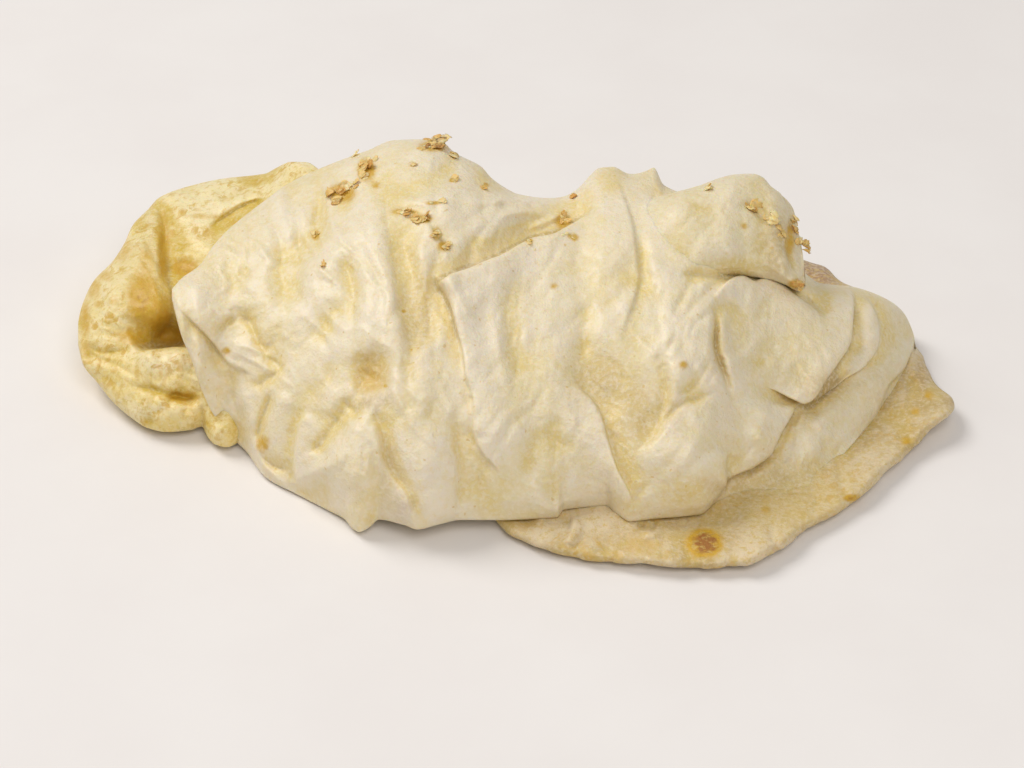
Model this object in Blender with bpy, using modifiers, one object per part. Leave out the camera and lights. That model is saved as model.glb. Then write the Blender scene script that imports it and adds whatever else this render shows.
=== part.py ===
"""A folded paratha: a soft flatbread gathered into a long heap, with its lowest layer lying flat.

Every form is placed as it is seen from one eye point, above and in front of the heap. A place is
a column and a row of the photograph, and a size is in millimetres. A mound is a loft of upright
sections, one for each column, and its folds are relief towards the eye.
"""
import math

import bmesh
import bpy
import numpy as np
from mathutils import Matrix

NAME = "paratha"
MM = 0.001

# The eye, in millimetres and degrees, and the size of a pixel on the plane through the aim point
EYE_DISTANCE = 670.8
EYE_PITCH = math.radians(36.25)
AIM_Y = -2.5
PIXEL = 0.2775
MIDDLE_COLUMN = 512.0
MIDDLE_ROW = 384.0

# Fineness of the lofts and of the finished solid
COLUMN_STEP = 1.0
FRONT_STEPS = 110
BACK_STEPS = 36
UNDER_STEPS = 6
VOXEL = 0.9
FACE_LIMIT = 9000
CUT_DEPTH = 3.0
WRINKLE = 0.45
SOFT_EDGE = 0.8

# How far the outline's detail reaches into a mound, and what is steadied away behind it
EDGE_DETAIL = 9.0
FOOT_STEADY = 3.0
CREST_STEADY = 5.0

# A mound is no higher than its outline leaves room for
LEAST_RISE = 1.5
STEEPEST_RISE = 1.1

# How a section swells, as shares of its run and of its height, and how its back meets the table
FOOT_BULGE = 0.02
BELLY_HEIGHT = 0.48
CREST_LEAD = 0.62
BACK_LEAD = 0.6
BACK_SLUMP = 0.4
BACK_TOE = 1.5
CREST_ROUNDS = 6
FIRST_STEP_BACK = 4.0

# Folds are fainter near the foot and run out behind the crest, where soft pleats take over
FOOT_RELIEF = 0.25
FOOT_FADE = 4.0
BEHIND_FADE = 0.45
PLEAT = 1.2
PLEAT_SHORTEST = 9.0
PLEAT_LONGEST = 24.0

# The hollow under a raised foot
ARCH_SLOPE = 1.5
ARCH_START = 1.0

CRUST_COLOUR = (0.80, 0.68, 0.38, 1.0)
CRUST_ROUGHNESS = 0.6
SHARP_ANGLE = math.radians(50)

# The slab that cuts the underside flat
TABLE_SIZE = 400.0
TABLE_DEPTH = 50.0

SIN = math.sin(EYE_PITCH)
COS = math.cos(EYE_PITCH)
EYE_Y = AIM_Y - EYE_DISTANCE * COS
EYE_Z = EYE_DISTANCE * SIN


# Folds. A lip runs with its raised side on the right hand, and a ridge of negative height is a crease.

def lip(path, rise, reach, sink=0.0, sink_reach=6.0, roundness=2.0, fade=0.2):
    return {"kind": "lip", "path": path, "rise": rise, "reach": reach, "sink": sink,
            "sink_reach": sink_reach, "roundness": roundness, "fade": fade}


def ridge(path, height, width, fade=0.3):
    return {"kind": "ridge", "path": path, "height": height, "width": width, "fade": fade}


def bump(centre, radii, height, turn=0.0):
    return {"kind": "bump", "centre": centre, "radii": radii, "height": height, "turn": turn}


# The left loop: a thick roll that comes round from behind the heap and back under its front
LOOP = {
    "foot": ((77, 345), (82, 365), (95, 381), (112, 402), (132, 419), (147, 428), (166, 432),
             (190, 430), (215, 432), (300, 400), (345, 380)),
    "crest": ((77, 322), (80, 308), (93, 280), (112, 261), (123, 244), (132, 224), (147, 209),
              (158, 197), (181, 188), (225, 178), (264, 174), (277, 167), (290, 161), (314, 161),
              (345, 172)),
    "height": ((77, 15), (95, 20), (130, 25), (160, 28), (200, 29), (260, 34), (345, 38)),
    "lift": ((77, 11), (95, 6), (132, 3), (190, 2), (345, 1)),
    "back": ((77, 3), (84, 9), (110, 17), (160, 22), (345, 26)),
    "under": ((77, 9), (84, 4), (94, 0), (106, -3), (345, -3)),
    "folds": {
        "band_edge": lip([(268, 197), (249, 207), (229, 215), (212, 224), (202, 234)], 5.0, 12.0, 3.0),
        "pocket": bump((174, 316), (8.5, 9.5), -8.0),
        "pocket_top": bump((182, 266), (4.5, 3.5), -5.0),
        "lower_roll": lip([(114, 356), (134, 346), (160, 345), (188, 347), (220, 352)], 5.0, 8.0, 11.0,
                          20.0),
        "inner_crease": ridge([(153, 198), (158, 222), (163, 250), (168, 285)], -3.0, 1.8),
        "bulge_dent": ridge([(142, 232), (151, 262), (148, 290)], -2.0, 2.5),
        "roll_crease": ridge([(112, 384), (135, 389), (160, 393), (185, 399), (212, 405)], -5.0, 1.8, 0.6),
        "bulge_end": ridge([(132, 344), (127, 362), (112, 376)], -1.2, 1.6),
        "outer_swell": ridge([(118, 262), (104, 300), (100, 340)], 2.0, 5.0),
        "band_fold": ridge([(225, 196), (250, 184), (285, 176)], -1.2, 2.2),
        "band_swell": ridge([(170, 212), (205, 200), (250, 192)], 1.6, 4.5),
    },
}

# The main heap: crown, left drape, central flap and the wide layers that run out to the right
HEAP = {
    "foot": ((171, 299), (175, 316), (181, 337), (190, 358), (199, 385), (212, 413), (225, 432),
             (245, 451), (265, 477), (296, 494), (329, 511), (344, 519), (351, 527), (359, 531),
             (369, 527), (379, 520), (404, 525), (417, 529), (440, 524), (461, 520), (497, 520),
             (557, 517), (564, 510), (606, 506), (616, 513), (631, 521), (652, 519), (700, 514),
             (719, 501), (735, 497), (808, 491), (832, 470), (856, 442), (886, 405), (902, 384),
             (913, 362), (917, 346)),
    "crest": ((171, 289), (181, 278), (199, 265), (212, 246), (229, 228), (266, 199), (288, 183),
              (325, 166), (351, 156), (368, 150), (392, 140), (418, 139), (440, 140), (455, 153),
              (481, 166), (492, 179), (504, 188), (518, 195), (560, 199), (572, 195), (592, 173),
              (599, 167), (613, 166), (631, 175), (647, 170), (654, 166), (665, 187), (683, 194),
              (720, 210), (760, 232), (797, 264), (820, 284), (850, 286), (872, 292), (893, 302),
              (905, 313), (914, 332), (917, 344)),
    "height": ((171, 36), (200, 38), (250, 43), (288, 46), (340, 52), (400, 58), (440, 58),
               (490, 52), (540, 45), (575, 46), (605, 51), (650, 48), (700, 41), (760, 33),
               (800, 27), (850, 21), (900, 13), (917, 10)),
    "lift": ((171, 34), (181, 29), (190, 23), (199, 17), (212, 9), (225, 3), (240, 0), (490, 0),
             (512, 6.0), (700, 6.5), (800, 5.5), (860, 5.5), (917, 7)),
    "back": ((171, 8), (190, 18), (250, 28), (400, 42), (640, 42), (760, 34), (860, 22), (917, 8)),
    "under": ((171, 31), (181, 21), (199, 8), (222, -3), (917, -3)),
    "folds": {
        "corner_lip": lip([(266, 365), (243, 374), (226, 366), (213, 352), (200, 332), (186, 310),
                           (174, 296)], 3.0, 14.0, 1.5, 5.0),
        "corner_crease": ridge([(238, 312), (250, 330), (264, 350), (284, 369)], -2.0, 1.6),
        "corner_tuck": ridge([(284, 369), (270, 378), (261, 390)], -1.8, 1.6),
        "hem_crease_a": ridge([(231, 380), (236, 402), (243, 432), (247, 450)], -1.6, 1.4),
        "hem_ridge": ridge([(279, 388), (271, 410), (268, 432), (262, 446)], 1.2, 1.6),
        "hem_crease_b": ridge([(262, 396), (262, 420), (264, 444)], -1.5, 1.2),
        "hem_tuck": ridge([(262, 438), (278, 451), (294, 454)], -2.0, 1.7),
        "hem_tuck_low": ridge([(266, 462), (280, 468), (294, 468)], -1.6, 1.5),
        "lobe_left": lip([(304, 497), (295, 474), (293, 450), (297, 424), (306, 408)], 2.6, 8.0, 1.0, 4.0),
        "lobe_fold": ridge([(298, 456), (325, 441), (345, 420), (349, 402)], -2.4, 2.6),
        "lobe_tuck": ridge([(342, 398), (352, 411), (362, 420)], -1.2, 1.4),
        "lobe_swell": bump((338, 468), (12.0, 10.0), 3.0, 25.0),
        "lobe_ridge": ridge([(322, 488), (334, 466), (358, 452)], 0.9, 1.8),
        "front_lip": lip([(418, 532), (415, 516), (411, 497), (400, 476), (386, 457), (379, 435),
                          (378, 405)], 4.5, 11.0, 2.0, 8.0),
        "front_hollow": bump((437, 500), (5.5, 7.0), -1.8),
        "dimple": bump((372, 378), (9.0, 9.0), -3.4),
        "shoulder_ridge": ridge([(380, 205), (350, 231), (322, 268), (308, 310), (300, 350)], 1.8, 5.0),
        "shoulder_valley": ridge([(374, 158), (352, 184), (335, 203), (316, 234), (288, 256),
                                  (270, 290)], -2.6, 2.6),
        "shoulder_dent": ridge([(364, 230), (350, 262), (346, 295), (330, 325), (318, 350)], -1.5, 3.2),
        "crown_lip": lip([(384, 184), (386, 204), (387, 228), (391, 256), (396, 281), (405, 309),
                          (407, 336), (404, 366)], 5.5, 16.0, 3.0, 9.0),
        "crown_ridge": ridge([(424, 220), (428, 258), (427, 300)], 2.6, 2.4),
        "flap_gutter": ridge([(437, 262), (438, 296), (432, 326), (424, 352)], -2.6, 2.2),
        "crown_crease": lip([(450, 174), (418, 184), (396, 192), (382, 200)], 1.4, 7.0, 1.4, 6.0, 4.0),
        "crown_rib": ridge([(392, 204), (420, 203), (462, 206)], 1.0, 1.3),
        "torn_edge": lip([(446, 250), (440, 236), (430, 225), (414, 214), (392, 208)], 2.0, 8.0, 0.8, 4.0),
        "roll_swell": ridge([(470, 225), (505, 214), (556, 206)], 2.2, 4.5),
        "roll_fold": ridge([(476, 212), (500, 208), (512, 198)], -0.8, 1.4),
        "flap_top": lip([(432, 294), (446, 281), (462, 272), (482, 262), (505, 249), (526, 238),
                         (545, 234), (560, 228), (580, 216), (603, 202)], 5.0, 13.0, 4.5, 8.0),
        "flap_corner": bump((449, 257), (3.2, 3.8), 3.0, -30.0),
        "flap_left": lip([(502, 486), (490, 467), (480, 441), (474, 412), (469, 390), (461, 364),
                          (459, 344), (453, 318), (444, 302), (436, 284)], 2.6, 9.0, 1.6, 5.0),
        "flap_valley": ridge([(522, 250), (518, 296), (517, 340), (521, 366), (538, 394)], -2.4, 3.2),
        "front_crease": ridge([(459, 428), (460, 455), (461, 485), (461, 524)], -4.2, 2.0),
        "peak_swell": ridge([(602, 190), (610, 240), (606, 290)], 2.2, 5.0),
        "peak_lip": lip([(606, 172), (618, 190), (628, 212), (632, 234), (637, 266), (636, 298),
                         (628, 323), (618, 350)], 4.5, 12.0, 3.0, 6.0),
        "peak_dent": ridge([(590, 296), (588, 336), (582, 366)], -2.0, 2.8),
        "middle_hollow": bump((613, 394), (12.0, 9.5), -3.4, -20.0),
        "middle_lip": lip([(576, 380), (599, 413), (609, 440), (620, 465), (634, 492), (646, 508)],
                          4.5, 12.0, 2.0, 7.0),
        "middle_fold": ridge([(542, 424), (558, 440), (578, 449)], -1.2, 2.2),
        "cup_fold": ridge([(531, 438), (534, 484), (548, 504), (566, 500), (574, 478), (584, 458)],
                          1.6, 2.0),
        "cup_hollow": bump((553, 484), (4.0, 6.5), -1.8),
        "tuck_lip": lip([(712, 356), (700, 372), (684, 392), (669, 410), (656, 429), (643, 447),
                         (630, 458)], 2.6, 9.0, 1.4, 6.0),
        "tuck_ridge": ridge([(716, 384), (702, 394), (686, 409)], -1.6, 1.5),
        "panel_swell": bump((690, 338), (9.5, 14.0), 2.6, 10.0),
        "panel_crease": ridge([(659, 344), (664, 372), (673, 402)], -1.1, 1.5),
        "panel_low": bump((695, 458), (14.0, 12.0), 3.0, 35.0),
        "deep_crease": ridge([(713, 296), (714, 334), (719, 362), (727, 391), (734, 414)], -4.6, 2.2),
        "right_top": lip([(716, 304), (733, 286), (757, 282), (783, 288), (806, 301), (826, 317)],
                         4.5, 12.0, 3.0, 6.0),
        "right_lip": lip([(846, 280), (857, 305), (858, 325), (855, 338), (845, 357), (830, 376),
                          (818, 392), (807, 402), (794, 405)], 5.0, 13.0, 3.0, 7.0),
        "right_hem": lip([(800, 404), (780, 389), (755, 382)], 1.3, 6.0),
        "step_lip": lip([(800, 398), (796, 416), (789, 429), (780, 441), (771, 457), (760, 470),
                         (741, 477), (726, 485), (717, 503)], 4.8, 11.0, 2.0, 6.0),
        "tail_lip": lip([(735, 450), (729, 476), (721, 494), (706, 512)], 2.6, 8.0, 1.0, 5.0),
        "layer_lip": lip([(864, 288), (879, 305), (884, 326), (879, 349), (862, 367), (842, 386),
                          (820, 402), (796, 424)], 3.4, 9.0, 1.5, 6.0),
        "layer_swell": ridge([(874, 392), (838, 430), (790, 470)], 1.8, 6.0),
        "layer_dent": ridge([(846, 455), (826, 474), (800, 482)], -1.2, 2.4),
        "rear_fold": ridge([(866, 300), (871, 325), (866, 348)], 1.3, 2.0),
        "under_roll": ridge([(686, 280), (716, 280), (744, 274), (776, 279), (806, 296)], -4.5, 3.2),
    },
}

# The closed roll that rests on the heap at the back right
ROLL = {
    "foot": ((638, 262), (651, 268), (670, 275), (692, 277), (710, 275), (736, 272), (754, 275),
             (772, 279), (786, 285), (797, 290), (804, 280)),
    "crest": ((638, 206), (660, 190), (683, 187), (701, 184), (719, 178), (736, 174), (754, 173),
              (763, 176), (772, 186), (785, 196), (795, 208), (798, 230), (802, 243), (804, 270)),
    "height": ((638, 47), (680, 51), (740, 53), (770, 51), (790, 46), (804, 39)),
    "lift": ((638, 37), (700, 37), (750, 36), (804, 33)),
    "back": ((638, 32), (700, 34), (760, 30), (795, 20), (804, 9)),
    "under": ((638, -3), (775, -3), (790, 12), (804, 30)),
    "folds": {
        "roll_top": ridge([(664, 196), (700, 198), (745, 196)], 1.2, 3.0),
        "roll_crease": ridge([(650, 214), (690, 208), (724, 214)], -1.0, 2.0),
        "roll_dent": ridge([(744, 200), (760, 214), (776, 236)], -1.4, 1.8),
        "roll_belly": ridge([(660, 252), (700, 250), (750, 244)], 1.6, 4.0),
        "roll_end": lip([(772, 190), (786, 214), (791, 240), (790, 280)], 1.4, 7.0, 1.4, 4.0),
    },
}

# The flat lowest layer: its edge, its middle, its thickness and the tip that curls up at the right
LAYER = {
    "edge": ((500, 526), (530, 545), (566, 556), (600, 562), (640, 564), (682, 568), (712, 568),
             (766, 559), (808, 529), (850, 506), (903, 458), (936, 427), (956, 407), (940, 387),
             (928, 366), (900, 320), (858, 290), (820, 266), (796, 256), (730, 250), (640, 268),
             (560, 330), (500, 420), (488, 490)),
    "middle": (722, 420),
    "thickness": 4.6,
    "rim": 0.07,
    "rim_drop": 0.75,
    "hub": 0.08,
    "wave": 0.6,
    "wave_shortest": 14.0,
    "wave_longest": 40.0,
    "tip": (956, 407),
    "tip_lift": 3.2,
    "tip_reach": 26.0,
}

# Rings of the flat layer over its top and round its rim, and how its underside draws in
TOP_RINGS = 14
RIM_RINGS = 4
RIM_START = 0.7
LOW_RIM = (0.99, 0.2)
SOLE_EDGE = 0.96
SOLE_RINGS = (0.8, 0.5, 0.2)

# Seeds of the unevenness
HEAP_SEED = 3
LOOP_SEED = 5
ROLL_SEED = 7
LAYER_SEED = 31


def across(column):
    return (np.asarray(column, float) - MIDDLE_COLUMN) * PIXEL


def above(row):
    return (MIDDLE_ROW - np.asarray(row, float)) * PIXEL


def eye_depth(y, z):
    return (y - EYE_Y) * COS - (z - EYE_Z) * SIN


def seen_height(y, z):
    """How high a point is seen, in millimetres on the plane through the aim point."""
    return EYE_DISTANCE * ((y - EYE_Y) * SIN + (z - EYE_Z) * COS) / eye_depth(y, z)


def y_seen_at(up, z):
    """The y of the point that has this height over the table and is seen at this height."""
    ratio = up / EYE_DISTANCE
    return EYE_Y - (z - EYE_Z) * (COS + ratio * SIN) / (SIN - ratio * COS)


def x_seen_at(sideways, y, z):
    return sideways * eye_depth(y, z) / EYE_DISTANCE


def curve(points, places):
    """A smooth curve through points that never overshoots them, read at the given places."""
    xs, ys = np.array(points, float).T
    slopes = np.diff(ys) / np.diff(xs)
    before, after = slopes[:-1], slopes[1:]
    same_way = before * after > 0
    tangents = np.concatenate(([slopes[0]], np.zeros(len(before)), [slopes[-1]]))
    tangents[1:-1][same_way] = (2 * before * after / (before + after + (~same_way)))[same_way]
    places = np.clip(places, xs[0], xs[-1])
    leg = np.clip(np.searchsorted(xs, places) - 1, 0, len(slopes) - 1)
    span = xs[leg + 1] - xs[leg]
    t = (places - xs[leg]) / span
    start = ys[leg] + t * t * (3 - 2 * t) * (ys[leg + 1] - ys[leg])
    return start + span * t * (1 - t) * ((1 - t) * tangents[leg] - t * tangents[leg + 1])


def fold_line(path, per_leg=6):
    """A smooth line through a fold's places, in millimetres as it is seen."""
    points = np.column_stack((across([p[0] for p in path]), above([p[1] for p in path])))
    padded = np.vstack((2 * points[0] - points[1], points, 2 * points[-1] - points[-2]))
    line = []
    for k in range(len(points) - 1):
        p0, p1, p2, p3 = padded[k:k + 4]
        for step in range(per_leg):
            t = step / per_leg
            line.append(0.5 * (2 * p1 + (p2 - p0) * t + (2 * p0 - 5 * p1 + 4 * p2 - p3) * t * t
                               + (3 * p1 - p0 - 3 * p2 + p3) * t ** 3))
    line.append(points[-1])
    return np.array(line)


def from_line(sideways, up, line):
    """Distance from a line, positive on its right hand, and how far along it, 0 to 1."""
    nearest = np.full(sideways.shape, 1e9)
    signed = np.zeros(sideways.shape)
    place = np.zeros(sideways.shape)
    legs = len(line) - 1
    for k in range(legs):
        leg = line[k + 1] - line[k]
        right, high = sideways - line[k][0], up - line[k][1]
        t = np.clip((right * leg[0] + high * leg[1]) / (leg @ leg), 0, 1)
        away = np.hypot(right - t * leg[0], high - t * leg[1])
        closer = away < nearest
        nearest = np.where(closer, away, nearest)
        hand = np.where(leg[1] * right - leg[0] * high >= 0, 1.0, -1.0)
        signed = np.where(closer, hand * away, signed)
        place = np.where(closer, (k + t) / legs, place)
    return signed, place


def ease(x):
    x = np.clip(x, 0, 1)
    return x * x * (3 - 2 * x)


def fold_relief(fold, sideways, up):
    """How far one fold brings the surface towards the eye."""
    if fold["kind"] == "bump":
        right = sideways - across(fold["centre"][0])
        high = up - above(fold["centre"][1])
        turn = math.radians(fold["turn"])
        u = (right * math.cos(turn) + high * math.sin(turn)) / fold["radii"][0]
        v = (high * math.cos(turn) - right * math.sin(turn)) / fold["radii"][1]
        return fold["height"] * np.exp(-(u * u + v * v) ** 1.25)
    signed, place = from_line(sideways, up, fold_line(fold["path"]))
    fade = fold["fade"]
    strength = ease(place / fade) * ease((1 - place) / fade)
    if fold["kind"] == "ridge":
        return fold["height"] * strength * np.exp(-(signed / fold["width"]) ** 2)
    over = np.clip((signed + SOFT_EDGE) / (fold["roundness"] + SOFT_EDGE), 0, 1)
    edge = 1 - (1 - over) ** 3
    high_side = edge * ease(1 - signed / fold["reach"])
    low_side = (1 - edge) * ease(1 + signed / fold["sink_reach"])
    return strength * (fold["rise"] * high_side - fold["sink"] * low_side)


def soften(grid, passes=1):
    """Each value mixed with its neighbours along and across the loft."""
    for _ in range(passes):
        for axis in (0, 1):
            before = np.concatenate((grid.take([0], axis), grid.take(range(grid.shape[axis] - 1), axis)), axis)
            after = np.concatenate((grid.take(range(1, grid.shape[axis]), axis), grid.take([-1], axis)), axis)
            grid = 0.25 * before + 0.5 * grid + 0.25 * after
    return grid


def wrinkles(sideways, up, seed, shortest=7.0, longest=26.0, waves=14):
    """Gentle unevenness about one millimetre high, from waves in seeded directions."""
    draw = np.random.default_rng(seed)
    total = np.zeros(sideways.shape)
    for _ in range(waves):
        length = draw.uniform(shortest, longest)
        heading = draw.uniform(0, math.pi)
        phase = draw.uniform(0, 2 * math.pi)
        along = sideways * math.cos(heading) + up * math.sin(heading)
        total += np.sin(2 * math.pi * along / length + phase) * length / longest
    return total / math.sqrt(waves)


def bezier(p0, p1, p2, p3, t):
    return ((1 - t) ** 3 * p0 + 3 * (1 - t) ** 2 * t * p1 + 3 * (1 - t) * t * t * p2 + t ** 3 * p3)


def steady(values, reach):
    """Values along the columns with anything narrower than the reach, in millimetres, smoothed away."""
    half = round(3 * reach / COLUMN_STEP)
    offsets = np.arange(-half, half + 1) * COLUMN_STEP
    weights = np.exp(-0.5 * (offsets / reach) ** 2)
    start = 2 * values[0] - values[half:0:-1]
    end = 2 * values[-1] - values[-2:-half - 2:-1]
    return np.convolve(np.concatenate((start, values, end)), weights / weights.sum(), "valid")


def section(shape, columns):
    """The bare upright section of a mound at each column, from its foot over the crest to the table.

    The body follows a steadied outline, and the outline's own detail stays close to its edge.
    """
    true_foot = above(curve(shape["foot"], columns))
    true_crest = above(curve(shape["crest"], columns))
    foot_up = steady(true_foot, FOOT_STEADY)
    crest_up = steady(true_crest, CREST_STEADY)
    lift = steady(curve(shape["lift"], columns), FOOT_STEADY)
    under = curve(shape["under"], columns)
    room = lift + LEAST_RISE + STEEPEST_RISE * (crest_up - foot_up)
    height = np.minimum(curve(shape["height"], columns), room)
    back = curve(shape["back"], columns)
    foot_y = y_seen_at(foot_up, lift)
    crest_y = y_seen_at(crest_up, height) - FIRST_STEP_BACK
    t_front = np.linspace(0, 1, FRONT_STEPS)[:, None]
    t_back = np.linspace(0, 1, BACK_STEPS)[1:, None]
    for _ in range(CREST_ROUNDS):
        run = crest_y - foot_y
        back_y = crest_y + back
        belly_z = lift + BELLY_HEIGHT * (height - lift)
        slump_z = under + BACK_SLUMP * (height - under)
        front_ys = bezier(foot_y, foot_y - FOOT_BULGE * run, crest_y - CREST_LEAD * run, crest_y, t_front)
        front_zs = bezier(lift, belly_z, height, height, t_front)
        back_ys = bezier(crest_y, crest_y + BACK_LEAD * back, back_y - BACK_TOE, back_y, t_back)
        back_zs = bezier(height, height, slump_z, under, t_back)
        ys = np.vstack((front_ys, back_ys))
        zs = np.vstack((front_zs, back_zs))
        crest_y = crest_y + (crest_up - seen_height(ys, zs).max(axis=0)) / SIN
    up = seen_height(ys, zs)
    below_crest = np.where(np.arange(len(ys))[:, None] <= up.argmax(axis=0), crest_up - up, 0)
    past_crest = np.where(np.arange(len(ys))[:, None] > up.argmax(axis=0), height - zs, 0)
    near_crest = np.exp(-((below_crest + past_crest) / EDGE_DETAIL) ** 2)
    near_foot = np.exp(-((up - foot_up) / EDGE_DETAIL) ** 2) * (below_crest > 0)
    ys += (near_crest * (true_crest - crest_up) + near_foot * (true_foot - foot_up)) / SIN
    return ys, zs, lift, under


def mound(name, shape, seed):
    """A closed loft of a mound's sections, with its folds raised towards the eye."""
    first, last = shape["foot"][0][0], shape["foot"][-1][0]
    count = round((last - first) * PIXEL / COLUMN_STEP) + 1
    columns = np.linspace(first, last, count)
    sideways = across(columns)
    ys, zs, lift, under = section(shape, columns)
    up = seen_height(ys, zs)
    crest_row = up.argmax(axis=0)
    rows = np.arange(len(ys))[:, None]
    seen_up = np.where(rows <= crest_row, up, up.max(axis=0))
    wide = np.broadcast_to(sideways, ys.shape)
    relief = WRINKLE * wrinkles(wide, seen_up, seed)
    for fold in shape["folds"].values():
        relief += fold_relief(fold, wide, seen_up)
    relief = soften(relief)
    relief *= FOOT_RELIEF + (1 - FOOT_RELIEF) * ease((zs - lift) / FOOT_FADE)
    behind = np.maximum(rows - crest_row, 0) / BACK_STEPS
    relief *= np.exp(-(behind / BEHIND_FADE) ** 2)
    pleats = PLEAT * wrinkles(wide, zs, seed + 1, PLEAT_SHORTEST, PLEAT_LONGEST) * ease(3 * behind)
    xs = x_seen_at(wide, ys, zs)
    to_eye = np.stack((-xs, EYE_Y - ys, EYE_Z - zs), -1)
    to_eye /= np.linalg.norm(to_eye, axis=-1, keepdims=True)
    points = np.stack((xs, ys, zs), -1) + relief[..., None] * to_eye
    points[..., 1] += pleats
    foot, heel = points[0], points[-1]
    arch_y = foot[:, 1] + ARCH_SLOPE * (foot[:, 2] - under) + ARCH_START
    arch_y = np.minimum(arch_y, heel[:, 1] - ARCH_START)
    arch = np.stack((foot[:, 0], arch_y, under), -1)
    sole = [heel + t * (arch - heel) for t in np.linspace(0, 1, UNDER_STEPS)[1:]]
    return loft(name, np.vstack((points, np.array(sole))).transpose(1, 0, 2))


def loft(name, rings):
    """A closed mesh from closed rings of equal length, with a fan of faces over each end ring."""
    mesh = bmesh.new()
    grid = []
    for ring in rings:
        grid.append([mesh.verts.new(point * MM) for point in ring])
    size = len(rings[0])
    for near, far in zip(grid[:-1], grid[1:]):
        for k in range(size):
            after = (k + 1) % size
            mesh.faces.new((near[k], far[k], far[after], near[after]))
    for ring, flip in ((grid[0], False), (grid[-1], True)):
        centre = sum((vert.co for vert in ring), ring[0].co * 0) / size
        hub = mesh.verts.new(centre)
        for k in range(size):
            after = (k + 1) % size
            corners = (ring[k], ring[after], hub)
            mesh.faces.new(corners[::-1] if flip else corners)
    bmesh.ops.triangulate(mesh, faces=mesh.faces[:])
    bmesh.ops.recalc_face_normals(mesh, faces=mesh.faces[:])
    return finish_mesh(name, mesh)


def finish_mesh(name, mesh):
    data = bpy.data.meshes.new(name)
    mesh.to_mesh(data)
    mesh.free()
    return bpy.data.objects.new(name, data)


def flat_layer(name, shape):
    """The lowest layer: rings from its middle to its edge, a rounded rim and a tip that curls up."""
    middle = np.array((across(shape["middle"][0]), above(shape["middle"][1])))
    outline = closed_line(shape["edge"])
    thickness = shape["thickness"]
    tip = np.array((across(shape["tip"][0]), above(shape["tip"][1])))
    rim = shape["rim"]
    top = np.linspace(shape["hub"], 1 - rim, TOP_RINGS)
    over_edge = np.linspace(1 - RIM_START * rim, 1, RIM_RINGS)
    rings = []
    for s in np.concatenate((top, over_edge)):
        over_rim = max(0.0, (s - 1 + rim) / rim)
        rings.append((s, thickness * math.sqrt(1 - shape["rim_drop"] * over_rim ** 2)))
    rings += [(LOW_RIM[0], LOW_RIM[1] * thickness), (SOLE_EDGE, 0.0)]
    rings += [(s, -CUT_DEPTH) for s in SOLE_RINGS]
    points = []
    for s, z in rings:
        seen = middle + s * (outline - middle)
        waves = wrinkles(seen[:, 0], seen[:, 1], LAYER_SEED, shape["wave_shortest"], shape["wave_longest"])
        near_tip = ease(1 - np.linalg.norm(seen - tip, axis=1) / shape["tip_reach"])
        on_top = z > thickness * LOW_RIM[1]
        above_sole = z >= 0
        zs = np.full(len(seen), z) + shape["wave"] * waves * on_top + shape["tip_lift"] * near_tip * above_sole
        ys = y_seen_at(seen[:, 1], zs)
        points.append(np.stack((x_seen_at(seen[:, 0], ys, zs), ys, zs), -1))
    return loft(name, np.array(points).transpose(0, 1, 2))


def closed_line(places, per_leg=5):
    """A smooth closed line through places, in millimetres as it is seen."""
    points = np.column_stack((across([p[0] for p in places]), above([p[1] for p in places])))
    line = []
    for k in range(len(points)):
        p0, p1, p2, p3 = (points[(k + shift) % len(points)] for shift in (-1, 0, 1, 2))
        for step in range(per_leg):
            t = step / per_leg
            line.append(0.5 * (2 * p1 + (p2 - p0) * t + (2 * p0 - 5 * p1 + 4 * p2 - p3) * t * t
                               + (3 * p1 - p0 - 3 * p2 + p3) * t ** 3))
    return np.array(line)


def crust_material():
    material = bpy.data.materials.new("crust")
    material.use_nodes = True
    shader = material.node_tree.nodes["Principled BSDF"]
    shader.inputs["Base Color"].default_value = CRUST_COLOUR
    shader.inputs["Roughness"].default_value = CRUST_ROUGHNESS
    shader.inputs["Metallic"].default_value = 0.0
    return material


def apply_modifiers(thing):
    """Give an object the mesh that its modifiers make, and drop them."""
    bpy.context.view_layer.update()
    evaluated = thing.evaluated_get(bpy.context.evaluated_depsgraph_get())
    made = bpy.data.meshes.new_from_object(evaluated)
    thing.modifiers.clear()
    thing.data = made


def table_cutter():
    """A slab whose top is the plane that the bread rests on."""
    bpy.ops.mesh.primitive_cube_add(size=1)
    table = bpy.context.object
    table.name = "table_cut"
    table.scale = (TABLE_SIZE * MM, TABLE_SIZE * MM, TABLE_DEPTH * MM)
    table.location = (0, 0, -TABLE_DEPTH * MM / 2)
    table.hide_render = True
    table.display_type = "WIRE"
    for collection in list(table.users_collection):
        collection.objects.unlink(table)
    return table


def boolean(thing, name, operation):
    modifier = thing.modifiers.new(name, "BOOLEAN")
    modifier.operation = operation
    modifier.solver = "MANIFOLD"
    return modifier


def join(heap, pieces):
    """Fuse the heap with the other pieces, and drop them."""
    joined = bpy.data.collections.new("joined")
    bpy.context.scene.collection.children.link(joined)
    for piece in pieces:
        joined.objects.link(piece)
    union = boolean(heap, "join", "UNION")
    union.operand_type = "COLLECTION"
    union.collection = joined
    apply_modifiers(heap)
    for piece in pieces:
        bpy.data.objects.remove(piece, do_unlink=True)
    bpy.data.collections.remove(joined)


def even_out(heap):
    """Give the fused solid even faces, then only as many as it needs."""
    even = heap.modifiers.new("even", "REMESH")
    even.mode = "VOXEL"
    even.voxel_size = VOXEL * MM
    apply_modifiers(heap)
    triangles = 2 * len(heap.data.polygons)
    thin = heap.modifiers.new("thin", "DECIMATE")
    thin.ratio = FACE_LIMIT / triangles
    apply_modifiers(heap)


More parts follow.
